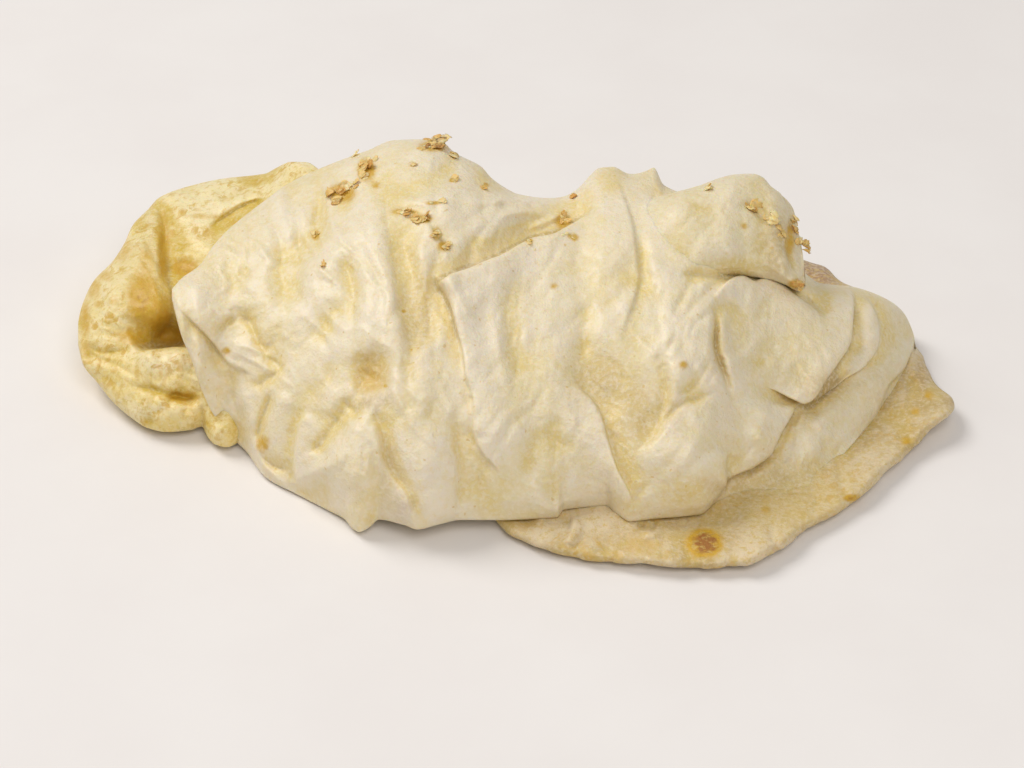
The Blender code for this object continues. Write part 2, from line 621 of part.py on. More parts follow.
def stand_on_origin(thing):
    """Move the mesh so that the origin is the middle of its box, on the table."""
    corners = np.array([vert.co for vert in thing.data.vertices])
    middle = (corners.min(axis=0) + corners.max(axis=0)) / 2
    thing.data.transform(Matrix.Translation((-middle[0], -middle[1], 0)))


def main():
    for thing in list(bpy.data.objects):
        bpy.data.objects.remove(thing, do_unlink=True)
    parts = bpy.data.collections.new(NAME)
    cutters = bpy.data.collections.new("cutters")
    bpy.context.scene.collection.children.link(parts)
    bpy.context.scene.collection.children.link(cutters)

    heap = mound(NAME, HEAP, HEAP_SEED)
    parts.objects.link(heap)
    loop = mound("loop", LOOP, LOOP_SEED)
    roll = mound("roll", ROLL, ROLL_SEED)
    join(heap, [loop, roll, flat_layer("layer", LAYER)])
    even_out(heap)

    table = table_cutter()
    cutters.objects.link(table)
    boolean(heap, "rest_face", "DIFFERENCE").object = table
    apply_modifiers(heap)
    stand_on_origin(heap)

    heap.data.materials.clear()
    heap.data.materials.append(crust_material())
    heap.data.shade_smooth()
    heap.data.set_sharp_from_angle(angle=SHARP_ANGLE)


if __name__ == "__main__":
    main()
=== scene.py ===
"""The looks of the folded paratha: the solid's forms made finer, with creases, browning and flakes.

Every form is placed as it is seen from the camera. A place is a column and a row of the
photograph, and a size is in millimetres. A mound is a loft of upright sections, one for each
column, and its folds are relief towards the camera whose edges lean over what lies below them.
"""
import math

import bpy
import numpy as np
from mathutils import Matrix, Vector
from mathutils.bvhtree import BVHTree


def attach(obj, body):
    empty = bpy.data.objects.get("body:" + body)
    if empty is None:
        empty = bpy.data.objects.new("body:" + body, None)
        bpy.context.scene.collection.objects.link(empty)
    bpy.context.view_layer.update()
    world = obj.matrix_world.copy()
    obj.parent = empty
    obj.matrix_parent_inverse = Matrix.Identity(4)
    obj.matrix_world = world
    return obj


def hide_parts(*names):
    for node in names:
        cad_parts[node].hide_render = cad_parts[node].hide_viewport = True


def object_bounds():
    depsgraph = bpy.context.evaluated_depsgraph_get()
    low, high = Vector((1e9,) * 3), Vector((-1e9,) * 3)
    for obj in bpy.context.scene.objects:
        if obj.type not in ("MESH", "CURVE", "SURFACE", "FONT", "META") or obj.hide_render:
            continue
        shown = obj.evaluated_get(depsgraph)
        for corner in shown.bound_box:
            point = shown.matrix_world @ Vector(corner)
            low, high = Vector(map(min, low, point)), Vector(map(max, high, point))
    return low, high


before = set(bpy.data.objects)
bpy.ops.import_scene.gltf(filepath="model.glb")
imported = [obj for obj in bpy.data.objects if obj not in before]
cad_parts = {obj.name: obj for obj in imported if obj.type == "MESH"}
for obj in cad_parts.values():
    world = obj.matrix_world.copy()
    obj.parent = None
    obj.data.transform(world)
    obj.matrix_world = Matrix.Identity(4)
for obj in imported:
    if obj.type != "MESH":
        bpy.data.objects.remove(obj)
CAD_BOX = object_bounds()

MM = 0.001

# The camera: its distance and pitch, and the size of a pixel on the plane through the aim point
EYE_DISTANCE = 670.8
EYE_PITCH = math.radians(36.25)
AIM_Y = -2.5
PIXEL = 0.2775
MIDDLE_COLUMN = 512.0
MIDDLE_ROW = 384.0
LENS = 85.0
SENSOR = 36.0

SIN = math.sin(EYE_PITCH)
COS = math.cos(EYE_PITCH)
EYE_Y = AIM_Y - EYE_DISTANCE * COS
EYE_Z = EYE_DISTANCE * SIN

# Fineness of the lofts, and the most triangles that a piece may have
COLUMN_STEP = 0.42
TOE_STEPS = 8
FRONT_STEPS = 250
BACK_STEPS = 70
UNDER_STEPS = 5
PIECE_LIMIT = 190000

# The rounded toe of a mound, and how the outline's detail reaches into it
TOE = 1.8
TOE_SHARE = 0.3
EDGE_DETAIL = 9.0
FOOT_STEADY = 3.0
CREST_STEADY = 5.0
END_REACH = 10.0

# A mound is no higher than its outline leaves room for
LEAST_RISE = 1.5
STEEPEST_RISE = 1.1

# How a section swells, as shares of its run and of its height, and how its back meets the table
BULGE = ((0, 0.02), (1000, 0.02))
BELLY = ((0, 0.48), (1000, 0.48))
CREST_LEAD = 0.62
BACK_LEAD = 0.6
BACK_SLUMP = 0.4
BACK_TOE = 1.5

# A section is moved until its top is seen at the crest: in how many rounds, and how far towards the
# camera it starts
CREST_ROUNDS = 6
FIRST_STEP_BACK = 4.0

# Folds are fainter near the foot and run out behind the crest, where soft pleats take over
SOFT_EDGE = 0.5
FOOT_RELIEF = 0.25
FOOT_FADE = 4.0
BEHIND_FADE = 0.45
PLEAT = 1.2
PLEAT_START = 3.0

# A lip is worked out to this far past its reach
LIP_MARGIN = 1.0

# How a lip leans over what lies below it: crisp lips the most, and their foot a little the other way
LEAN_SHARE = 0.25
LEAN_MOST = 1.3
LEAN_SHIFT = 0.7
CRISP_START = 2.2
CRISP_FALL = 0.6
HANG_GAIN = 2.2
HANG_START = 0.9
HANG_REACH = 3.5
UNDER_SHARE = 0.35
UNDER_REACH = 1.5

# The painted shadow line under a lip: its shift from the edge, its width, and the step that makes it
# darkest
SHADE_LINE_SHIFT = 0.6
SHADE_LINE_WIDTH = 1.6
LIP_SHADE_TONE = 6.0

# A crease is a V between two pillows: how round its bottom is, how many widths out it ends, how many
# more it is worked out to, and the depth that makes its painted shade darkest
CREASE_FLOOR = 0.45
CREASE_REACH = 4.0
CREASE_MARGIN = 0.5
CREASE_SHADE_TONE = 5.0

# A bump ends this many radii out, and this is how flat its top is
BUMP_REACH = 2.2
BUMP_FLATNESS = 1.25

# Waves, each with its shortest and longest length and their number: how a fold wanders from its
# drawn line, the wave of the whole surface, the pleats of the back, the layer and its ragged rim
WANDER = 0.9
WANDER_WAVES = (8.0, 30.0, 12)
WRINKLE = 1.0
WRINKLE_WAVES = (9.0, 34.0, 18)
PLEAT_WAVES = (9.0, 24.0, 14)
LAYER_WAVES = (14.0, 40.0, 14)
RAGGED = 0.5
RAGGED_WAVES = (3.0, 12.0, 14)
RAGGED_FROM = 0.8
RAGGED_SPAN = 0.2

# Crumples: each kind has a width, a length, a heading in degrees from upright and a height, and is
# smooth (0), sharp in its valleys (1) or sharp on its backs (-1)
CRUMPLES = (
    (6.5, 17.0, 6.0, 1.05, 1),
    (5.0, 12.0, -38.0, 0.75, 1),
    (4.0, 9.5, 46.0, 0.55, -1),
    (2.6, 6.0, -12.0, 0.34, 1),
    (2.2, 4.5, 62.0, 0.24, -1),
    (1.3, 2.2, -55.0, 0.13, 0),
    (0.9, 1.3, 15.0, 0.08, 0),
)
NOISE_TABLE = (97, 89)

# Crumples are bent a little, are stronger in some patches than in others, and have rounded edges
CRUMPLE_BEND = 2.6
BEND_CELL = 13.0
PATCH_CELL = 21.0
PATCH_LEVEL = 0.55
PATCH_SPREAD = 0.9
SHARP_GAIN = 1.6
SHARP_ROUND = 0.01
SHARP_DROP = 0.6

# What counts as hollow: how much lower a place is than its wide and its narrow surroundings, and in
# the flat layer how low its relief is. Hollows get the butter colour, partly as painted shade
WIDE_HALF = 24
WIDE_TONE = 2.0
NARROW_HALF = 8
NARROW_TONE = 1.3
LAYER_TONE = 2.0

# The hollow under a raised foot
ARCH_SLOPE = 1.5
ARCH_START = 1.0


# Folds. A lip runs with its raised side on the right hand, and a ridge of negative height is a crease.

def lip(path, rise, reach, sink=0.0, sink_reach=6.0, roundness=2.0, fade=0.2):
    return {"kind": "lip", "path": path, "rise": rise, "reach": reach, "sink": sink,
            "sink_reach": sink_reach, "roundness": roundness, "fade": fade}


def ridge(path, height, width, fade=0.3):
    return {"kind": "ridge", "path": path, "height": height, "width": width, "fade": fade}


def valley(path, depth, width, fade=0.3):
    return {"kind": "valley", "path": path, "height": -depth, "width": width, "fade": fade}


def bump(centre, radii, height, turn=0.0):
    return {"kind": "bump", "centre": centre, "radii": radii, "height": height, "turn": turn}


# Folds of the left loop
LOOP_FOLDS = {
    "band_edge": lip([(278, 190), (255, 202), (232, 211), (214, 222), (200, 236)], 1.5, 8.0, 2.4, 8.0,
        3.0, 0.4),
    "bulge_edge": lip([(154, 198), (161, 226), (166, 258), (171, 296), (166, 322), (152, 338),
        (134, 345)], 2.6, 13.0, 2.6, 9.0, 6.5, 0.3),
    "bulge_turn": ridge([(138, 228), (126, 278), (114, 332)], 3.0, 6.5),
    "inner_line": ridge([(153, 202), (160, 222), (164, 244), (166, 268)], -1.6, 1.0, 0.4),
    "roll_swell": ridge([(130, 360), (165, 361), (198, 364)], 2.2, 3.4),
    "knob_line": ridge([(200, 404), (203, 418), (204, 432)], -0.9, 1.0),
    "knob": bump((222, 434), (4.0, 3.4), 0.7),
    "ledge_line": ridge([(80, 352), (98, 360), (122, 372), (134, 380)], -1.0, 1.0),
    "pocket": bump((168, 334), (5.6, 3.8), -6.0),
    "pocket_top": bump((184, 268), (4.5, 3.2), -3.4),
    "lower_roll": lip([(130, 351), (143, 346), (162, 344), (190, 346), (222, 352)], 1.5, 8.0, 6.5, 12.0,
        2.6, 0.3),
    "bulge_foot": ridge([(82, 340), (95, 353), (115, 355), (134, 348)], -1.5, 1.3),
    "bulge_dent": ridge([(142, 232), (151, 262), (148, 290)], -0.8, 2.5),
    "roll_crease": ridge([(112, 384), (135, 388), (160, 391), (185, 398), (206, 402)], -2.4, 1.3, 0.5),
    "roll_gap": ridge([(164, 391), (182, 397), (204, 401)], -3.6, 1.6, 0.4),
    "roll_step": ridge([(92, 372), (112, 384), (128, 396)], -1.0, 1.4),
    "outer_swell": ridge([(118, 262), (104, 300), (100, 340)], 1.4, 5.0),
    "band_fold": ridge([(225, 196), (250, 184), (285, 176)], -0.8, 2.2),
    "band_swell": ridge([(170, 212), (205, 200), (250, 192)], 1.0, 4.5),
}

# The mounds. Foot and crest are outlines in columns and rows. The other curves give a value at each
# column: height, lift of the foot, depth of the back and height of its end ("under") in millimetres,
# swelling as in BELLY and BULGE, and the strength of the crumples.

# The left loop: a thick roll that comes round from behind the heap and back under its front
LOOP = {
    "foot": ((77, 345), (82, 365), (95, 381), (112, 402), (132, 419), (147, 428), (166, 432),
        (190, 430), (201, 427), (207, 437), (214, 444), (226, 447), (238, 442), (250, 430), (300, 400),
        (345, 380)),
    "crest": ((77, 322), (80, 308), (93, 280), (112, 261), (123, 244), (132, 224), (147, 209),
        (158, 197), (181, 188), (225, 178), (264, 174), (277, 167), (290, 161), (306, 161), (318, 168),
        (330, 188), (345, 216)),
    "height": ((77, 15), (95, 20), (130, 25), (160, 28), (200, 29), (250, 33), (285, 38), (306, 40),
        (345, 38)),
    "lift": ((77, 11), (95, 6), (132, 3), (190, 2), (345, 1)),
    "back": ((77, 3), (84, 9), (110, 17), (160, 22), (240, 23), (285, 19), (314, 13), (345, 6)),
    "under": ((77, 9), (84, 4), (94, 0), (345, 0)),
    "crumple": ((77, 1.25), (345, 1.1)),
    "folds": LOOP_FOLDS,
}

# Folds of the main heap
HEAP_FOLDS = {
    "corner_lip": lip([(262, 370), (244, 369), (226, 360), (214, 348), (200, 332), (186, 314),
        (174, 298)], 1.1, 11.0, 0.7, 4.0, 1.8, 0.3),
    "corner_line": ridge([(184, 309), (200, 333), (214, 350), (226, 362)], -1.8, 0.9),
    "corner_crease": ridge([(238, 314), (250, 326), (260, 342), (270, 358), (284, 371)], -2.6, 0.8,
        0.2),
    "corner_tuck": ridge([(285, 367), (271, 374), (262, 382), (252, 389)], -2.0, 0.8),
    "corner_pan": bump((216, 358), (3.4, 3.0), -1.3, -40.0),
    "corner_swell": bump((205, 300), (7.0, 8.0), 1.6),
    "drape_crease_a": ridge([(272, 320), (277, 332), (270, 346), (262, 356)], -0.8, 1.0),
    "hem_crease_a": ridge([(229, 366), (234, 392), (237, 416), (242, 446)], -1.9, 1.2),
    "hem_strip": ridge([(246, 380), (250, 408), (252, 440)], 1.3, 1.8),
    "hem_knob": bump((281, 402), (3.2, 2.8), 1.0),
    "hem_puff": bump((279, 424), (3.0, 3.4), 1.1),
    "hem_crease_b": ridge([(271, 388), (266, 408), (259, 430), (258, 448)], -2.8, 0.7),
    "hem_tuck": ridge([(256, 450), (272, 465), (294, 468)], -2.0, 0.8),
    "lobe_left": lip([(304, 497), (295, 474), (293, 450), (297, 424), (306, 408)], 1.6, 8.0, 0.7, 4.0),
    "lobe_fold": ridge([(302, 454), (320, 440), (338, 422), (347, 404)], -2.6, 1.6),
    "lobe_tuck": ridge([(342, 398), (352, 411), (362, 420)], -2.0, 1.1),
    "lobe_swell": bump((334, 470), (12.0, 9.0), 2.2, 25.0),
    "lobe_ridge": ridge([(304, 482), (326, 462), (356, 446)], 1.1, 1.8),
    "front_lip": lip([(372, 405), (377, 425), (384, 448), (393, 467), (405, 490), (413, 512),
        (418, 532)], 2.0, 10.0, 1.6, 5.0, 3.2),
    "front_hollow": bump((382, 462), (5.0, 10.0), -2.6, 20.0),
    "front_swell": bump((432, 470), (7.0, 14.0), 1.6),
    "dimple": bump((371, 373), (4.6, 6.2), -5.2),
    "dimple_side": valley([(352, 352), (358, 378), (372, 398)], 0.8, 2.6),
    "shoulder_ridge": ridge([(372, 212), (350, 236), (322, 270), (308, 310), (300, 350)], 2.3, 5.0),
    "shoulder_valley": valley([(362, 176), (345, 196), (330, 210), (312, 236), (292, 256), (272, 288)],
        2.3, 3.4),
    "shoulder_dent": valley([(364, 230), (350, 262), (346, 295), (330, 325), (318, 350)], 1.5, 3.4),
    "crown_step": lip([(384, 192), (386, 210), (388, 232), (391, 258), (396, 288), (403, 316),
        (408, 340), (409, 366)], 1.0, 12.0, 1.0, 16.0, 6.0, 0.25),
    "crown_valley": valley([(398, 214), (404, 250), (411, 290), (416, 330), (412, 366), (402, 398)],
        3.2, 4.0),
    "flap_shade": lip([(462, 384), (458, 348), (452, 318), (443, 298), (436, 280), (438, 262)], 0.6,
        6.0, 2.2, 13.0, 3.0, 0.35),
    "crown_ridge": ridge([(418, 226), (422, 256), (426, 290)], 1.4, 2.8),
    "flap_gutter": valley([(434, 276), (434, 298), (430, 326), (424, 352)], 1.8, 2.8),
    "crown_fold": valley([(462, 156), (440, 171), (412, 186), (390, 202)], 1.5, 3.6),
    "crown_rib": ridge([(392, 204), (420, 203), (462, 206)], 0.8, 1.5),
    "torn_edge": lip([(386, 204), (402, 211), (420, 217), (435, 231), (448, 248), (458, 262)], 0.7, 5.0,
        0.6, 4.0, 1.8, 0.3),
    "roll_swell": ridge([(470, 225), (505, 214), (556, 206)], 1.8, 4.5),
    "roll_fold": ridge([(476, 212), (500, 208), (512, 198)], -0.8, 1.4),
    "twist_rib_a": ridge([(462, 203), (500, 201), (528, 204), (552, 209)], 1.6, 0.9),
    "twist_rib_b": ridge([(496, 216), (522, 212), (556, 216)], 1.6, 0.8),
    "twist_rib_c": ridge([(520, 227), (545, 222), (572, 210)], 1.4, 0.8),
    "flap_top": lip([(430, 292), (441, 280), (457, 272), (478, 262), (498, 253), (515, 243), (528, 237),
        (542, 234), (560, 229), (580, 218), (603, 205)], 2.4, 14.0, 3.6, 11.0, 1.9, 0.14),
    "flap_corner": bump((450, 264), (4.0, 4.6), 1.0, -30.0),
    "flap_corner_line": ridge([(432, 280), (437, 291), (446, 304), (452, 318)], -1.2, 1.0),
    "flap_left": lip([(506, 488), (497, 472), (483, 452), (475, 425), (470, 398), (461, 368),
        (457, 344), (452, 318), (445, 300), (437, 284)], 1.2, 11.0, 0.9, 7.0),
    "flap_valley": valley([(517, 250), (514, 290), (514, 326), (518, 358), (532, 396)], 1.0, 3.0),
    "flap_line": ridge([(500, 290), (498, 330), (506, 372), (512, 400)], 0.9, 2.6),
    "front_crease": ridge([(457, 400), (460, 440), (461, 480), (461, 524)], -1.7, 0.9),
    "front_facet": bump((474, 478), (4.4, 8.0), -1.1),
    "peak_swell": ridge([(602, 190), (610, 240), (606, 290)], 1.5, 5.0),
    "peak_lip": lip([(606, 166), (620, 189), (628, 212), (634, 238), (637, 266), (636, 296), (628, 326),
        (615, 354)], 0.9, 12.0, 0.6, 7.0, 1.7, 0.3),
    "peak_line": ridge([(636, 226), (641, 252), (641, 282), (637, 304)], -0.9, 1.7),
    "peak_bank": ridge([(650, 228), (652, 254), (651, 282)], 0.7, 2.0),
    "peak_dent": valley([(590, 296), (584, 332), (580, 366)], 1.3, 2.8),
    "middle_hollow": bump((606, 385), (10.0, 10.0), -2.6, -35.0),
    "middle_lip": lip([(566, 370), (584, 392), (602, 414), (611, 442), (621, 472), (633, 494),
        (647, 514)], 1.8, 13.0, 1.5, 9.0, 2.0, 0.3),
    "middle_fold": ridge([(542, 424), (558, 440), (578, 449)], -1.0, 2.2),
    "hollow_rim": lip([(631, 457), (648, 440), (661, 420), (670, 397), (664, 371), (654, 342)], 0.9,
        8.0, 2.2, 20.0, 4.0, 0.35),
    "cup_fold": ridge([(531, 438), (534, 484), (548, 504), (566, 500), (574, 478), (584, 458)], 1.0,
        2.0),
    "tuck_line": ridge([(728, 386), (704, 395), (684, 404), (670, 418), (652, 441)], -1.6, 0.7),
    "tuck_upper": ridge([(714, 352), (706, 370), (692, 388), (680, 398)], -1.6, 0.8),
    "panel_swell": bump((686, 340), (8.5, 13.0), 2.0, 10.0),
    "panel_crease": ridge([(659, 344), (664, 372), (668, 402)], -0.8, 1.3),
    "panel_low": bump((712, 446), (15.0, 12.0), 2.6, 35.0),
    "deep_crease": ridge([(714, 296), (714, 320), (715, 342), (720, 364), (725, 384), (733, 404)], -3.4,
        0.5),
    "deep_edge": lip([(714, 290), (714, 320), (715, 344), (720, 366), (726, 386), (736, 412)], 0.9, 9.0,
        0.6, 3.0, 1.1, 0.25),
    "deep_bank": ridge([(723, 312), (725, 336), (731, 366), (739, 396)], 1.1, 1.6),
    "right_top": lip([(714, 302), (719, 289), (731, 279), (742, 275), (753, 280), (764, 277),
        (780, 280), (795, 291), (812, 307), (826, 320)], 1.9, 12.0, 1.0, 4.0, 1.5),
    "right_lip": lip([(850, 282), (857, 305), (857, 325), (853, 342), (842, 362), (829, 379),
        (817, 397), (805, 405), (792, 400), (778, 392), (757, 384)], 2.2, 13.0, 2.6, 8.0, 1.4, 0.15),
    "right_gap": ridge([(798, 416), (816, 402), (834, 384), (852, 362)], -4.0, 1.5),
    "step_lip": lip([(797, 402), (793, 415), (782, 429), (775, 441), (769, 454), (756, 468), (740, 476),
        (728, 483), (719, 499)], 2.2, 12.0, 2.8, 4.0, 1.0, 0.12),
    "flap_fold": ridge([(802, 290), (812, 302), (825, 316)], -1.8, 0.8),
    "flap_pit": bump((822, 302), (2.2, 3.6), -1.8, 10.0),
    "step_swell": ridge([(770, 400), (764, 428), (748, 450)], 1.2, 4.0),
    "notch": ridge([(740, 455), (734, 466), (730, 478)], -1.2, 1.4),
    "tail_lip": lip([(734, 446), (730, 464), (725, 482), (716, 501), (702, 514)], 1.4, 8.0, 1.0, 6.0,
        1.5),
    "layer_lip": lip([(866, 292), (877, 305), (882, 326), (879, 348), (864, 367), (841, 385),
        (822, 400), (800, 420)], 1.5, 9.0, 1.6, 7.0, 1.4),
    "outer_line": lip([(917, 340), (907, 366), (891, 386), (879, 414), (860, 442), (838, 464)], 1.0,
        9.0, 0.6, 5.0, 1.8),
    "layer_swell": ridge([(882, 392), (838, 438), (786, 474)], 1.4, 6.0),
    "layer_dent": ridge([(846, 455), (826, 474), (800, 482)], -0.8, 2.4),
    "rear_fold": ridge([(866, 300), (871, 325), (866, 348)], 0.9, 2.0),
    "under_roll": ridge([(682, 278), (694, 276), (712, 275), (730, 275), (750, 272), (776, 278),
        (806, 294)], -2.8, 0.9, 0.2),
}

# The main heap: crown, left drape, central flap and the wide layers that run out to the right
HEAP = {
    "foot": ((171, 299), (175, 316), (181, 337), (190, 358), (199, 385), (212, 413), (225, 432),
        (245, 451), (265, 477), (296, 494), (329, 511), (344, 519), (351, 527), (359, 531), (369, 527),
        (379, 520), (404, 525), (417, 529), (440, 524), (461, 520), (497, 520), (557, 517), (564, 510),
        (606, 506), (616, 513), (631, 521), (652, 519), (700, 514), (719, 501), (735, 497), (808, 491),
        (832, 470), (856, 442), (886, 405), (902, 384), (913, 362), (917, 346)),
    "crest": ((171, 289), (181, 278), (199, 265), (212, 246), (229, 228), (266, 199), (288, 183),
        (325, 166), (351, 156), (368, 150), (392, 140), (418, 139), (440, 140), (455, 153), (481, 166),
        (492, 179), (504, 188), (518, 195), (560, 199), (572, 195), (592, 173), (599, 167), (613, 166),
        (631, 175), (647, 170), (654, 166), (665, 187), (683, 194), (720, 210), (760, 232), (797, 264),
        (820, 284), (850, 286), (872, 292), (893, 302), (905, 313), (914, 332), (917, 344)),
    "height": ((171, 36), (200, 38), (250, 43), (288, 46), (340, 52), (400, 57.6), (425, 58),
        (450, 56.6), (490, 53), (540, 48.5), (575, 48.5), (605, 51), (650, 49.5), (682, 48), (708, 46),
        (730, 42.5), (760, 37.5), (800, 31.5), (850, 24.5), (885, 18), (904, 11.5), (917, 5)),
    "lift": ((171, 34), (181, 29), (190, 23), (199, 17), (212, 9), (225, 3), (240, 0.5), (320, 0.5),
        (360, 1.2), (378, 3.6), (400, 4.6), (700, 4.5), (725, 3.2), (745, 2.0), (830, 1.8), (870, 2.6),
        (917, 2.6)),
    "belly": ((171, 0.48), (715, 0.48), (758, 0.35), (792, 0.15), (835, 0.12), (875, 0.28),
        (917, 0.45)),
    "bulge": ((171, 0.02), (715, 0.02), (758, -0.12), (792, -0.29), (835, -0.30), (875, -0.08),
        (917, 0.02)),
    "back": ((171, 3), (178, 7), (190, 12), (215, 20), (262, 31), (400, 42), (640, 42), (760, 34),
        (860, 22), (902, 9), (917, 2)),
    "under": ((171, 31), (181, 21), (199, 8), (222, 0), (900, 0), (917, 1.2)),
    "crumple": ((171, 0.9), (230, 1.6), (300, 1.4), (390, 1.1), (450, 0.7), (640, 0.7), (760, 0.85),
        (917, 0.85)),
    "folds": HEAP_FOLDS,
}

# Folds of the closed roll
ROLL_FOLDS = {
    "roll_top": ridge([(690, 198), (720, 196), (750, 194)], 1.0, 3.0),
    "roll_crease": ridge([(672, 214), (696, 208), (726, 212)], -0.8, 2.6),
    "roll_sheet": valley([(736, 190), (706, 200), (676, 206)], 0.8, 2.4),
    "roll_dent": ridge([(744, 200), (758, 212), (776, 230)], -1.6, 1.3),
    "roll_tear": ridge([(776, 224), (782, 240), (782, 262)], -1.2, 1.0),
    "roll_belly": ridge([(690, 256), (720, 254), (766, 256)], 0.8, 4.0),
    "roll_end": lip([(772, 184), (783, 204), (788, 226), (787, 250), (792, 284)], 0.8, 5.0, 0.9, 3.0,
        1.6),
}

# The closed roll that rests on the heap at the back right
ROLL = {
    "foot": ((630, 266), (651, 273), (670, 279), (692, 281), (710, 278), (736, 275), (754, 277),
        (772, 280), (786, 285), (799, 291), (806, 284)),
    "crest": ((630, 204), (660, 196), (683, 190), (701, 185), (719, 178), (736, 174), (754, 173),
        (763, 176), (772, 186), (785, 196), (794, 208), (799, 230), (803, 250), (806, 276)),
    "height": ((630, 45), (648, 49.5), (670, 53), (690, 54.5), (720, 54.5), (745, 54), (770, 52),
        (790, 46), (806, 38)),
    "lift": ((630, 35), (660, 37), (692, 38.5), (720, 38.5), (750, 37), (806, 32)),
    "back": ((630, 28), (700, 34), (760, 28), (790, 16), (800, 9), (806, 3)),
    "under": ((630, 0), (770, 0), (788, 14), (806, 31)),
    "toe": 4.2,
    "crumple": ((630, 0.5), (750, 0.6), (785, 1.3), (806, 1.6)),
    "folds": ROLL_FOLDS,
}

# Where two pieces are one sheet, so that their crossing is rounded off: centre, radii and reach
ROLL_MEETING = ((676, 238), (20.0, 19.0), 8.0)
LAYER_MEETING = ((790, 486), (20.0, 9.0), 3.4)
MEETING_FLATNESS = 1.6
MEETING_RISE = 0.25
MEETING_FAINTEST = 0.02

# Folds of the flat lowest layer
LAYER_FOLDS = {
    "edge_fold": lip([(560, 540), (566, 528), (572, 514)], 1.2, 5.0, 0.5, 4.0),
    "knob": bump((650, 531), (2.4, 1.6), 1.4),
    "crack": ridge([(634, 521), (646, 527), (660, 524)], -1.2, 0.9),
    "far_crease": ridge([(918, 372), (906, 388)], -1.0, 1.0),
}

# The flat lowest layer: its edge, its middle, its thickness and the tip that curls up at the right
LAYER = {
    "edge": ((500, 526), (530, 545), (566, 556), (600, 562), (640, 564), (682, 568), (712, 568),
        (766, 559), (808, 529), (850, 506), (903, 458), (936, 427), (956, 407), (940, 387), (928, 366),
        (900, 320), (858, 290), (820, 266), (796, 256), (730, 250), (640, 268), (560, 330), (500, 420),
        (488, 490)),
    "middle": (722, 420),
    "thickness": 4.6,
    "rim": 0.07,
    "rim_drop": 0.75,
    "hub": 0.08,
    "crumple": 0.55,
    "wave": 0.6,
    "tip": (956, 407),
    "tip_lift": 3.2,
    "tip_reach": 26.0,
    "folds": LAYER_FOLDS,
}

# Rings of the flat layer: few under the heap, many where it shows, and round its rim. The last two
# are the steps between two places, of its edge and of a fold's path
HIDDEN_RINGS = 6
SHOWN_FROM = 0.55
TOP_RINGS = 64
RIM_RINGS = 10
RIM_START = 0.9
LOW_RIM = (0.99, 0.2)
SOLE_EDGE = 0.96
SOLE_RINGS = (0.8, 0.5, 0.2)
LAYER_LEG = 34
FOLD_LEG = 6

# Seeds of the pieces, and how far past them the seeds of their patterns are
HEAP_SEED = 3
LOOP_SEED = 5
ROLL_SEED = 7
LAYER_SEED = 31
WANDER_SEED = 70
CRUMPLE_SEED = 40
BACK_CRUMPLE_SEED = 60
PLEAT_SEED = 1
BEND_SEED = 1
FOLD_SEED = 10
PATCH_SEED = 30
RAGGED_SEED = 1


def across(column):
    return (np.asarray(column, float) - MIDDLE_COLUMN) * PIXEL


def above(row):
    return (MIDDLE_ROW - np.asarray(row, float)) * PIXEL


def eye_depth(y, z):
    return (y - EYE_Y) * COS - (z - EYE_Z) * SIN


def seen_height(y, z):
    """How high a point is seen, in millimetres on the plane through the aim point."""
    return EYE_DISTANCE * ((y - EYE_Y) * SIN + (z - EYE_Z) * COS) / eye_depth(y, z)


def y_seen_at(up, z):
    """The y of the point that has this height over the table and is seen at this height."""
    ratio = up / EYE_DISTANCE
    return EYE_Y - (z - EYE_Z) * (COS + ratio * SIN) / (SIN - ratio * COS)


def x_seen_at(sideways, y, z):
    return sideways * eye_depth(y, z) / EYE_DISTANCE


def curve(points, places):
    """A smooth curve through points that never overshoots them, read at the given places."""
    xs, ys = np.array(points, float).T
    slopes = np.diff(ys) / np.diff(xs)
    before, after = slopes[:-1], slopes[1:]
    same_way = before * after > 0
    tangents = np.concatenate(([slopes[0]], np.zeros(len(before)), [slopes[-1]]))
    tangents[1:-1][same_way] = (2 * before * after / (before + after + (~same_way)))[same_way]
    places = np.clip(places, xs[0], xs[-1])
    leg = np.clip(np.searchsorted(xs, places) - 1, 0, len(slopes) - 1)
    span = xs[leg + 1] - xs[leg]
    t = (places - xs[leg]) / span
    start = ys[leg] + t * t * (3 - 2 * t) * (ys[leg + 1] - ys[leg])
    return start + span * t * (1 - t) * ((1 - t) * tangents[leg] - t * tangents[leg + 1])


def spline_leg(p0, p1, p2, p3, t):
    return 0.5 * (2 * p1 + (p2 - p0) * t + (2 * p0 - 5 * p1 + 4 * p2 - p3) * t * t
                  + (3 * p1 - p0 - 3 * p2 + p3) * t ** 3)


def fold_line(path):
    """A smooth line through a fold's places, in millimetres as it is seen."""
    points = np.column_stack((across([p[0] for p in path]), above([p[1] for p in path])))
    padded = np.vstack((2 * points[0] - points[1], points, 2 * points[-1] - points[-2]))
    line = []
    for k in range(len(points) - 1):
        for step in range(FOLD_LEG):
            line.append(spline_leg(*padded[k:k + 4], step / FOLD_LEG))
    line.append(points[-1])
    return np.array(line)


def closed_line(places):
    """A smooth closed line through places, in millimetres as it is seen."""
    points = np.column_stack((across([p[0] for p in places]), above([p[1] for p in places])))
    line = []
    for k in range(len(points)):
        corners = [points[(k + shift) % len(points)] for shift in (-1, 0, 1, 2)]
        for step in range(LAYER_LEG):
            line.append(spline_leg(*corners, step / LAYER_LEG))
    return np.array(line)


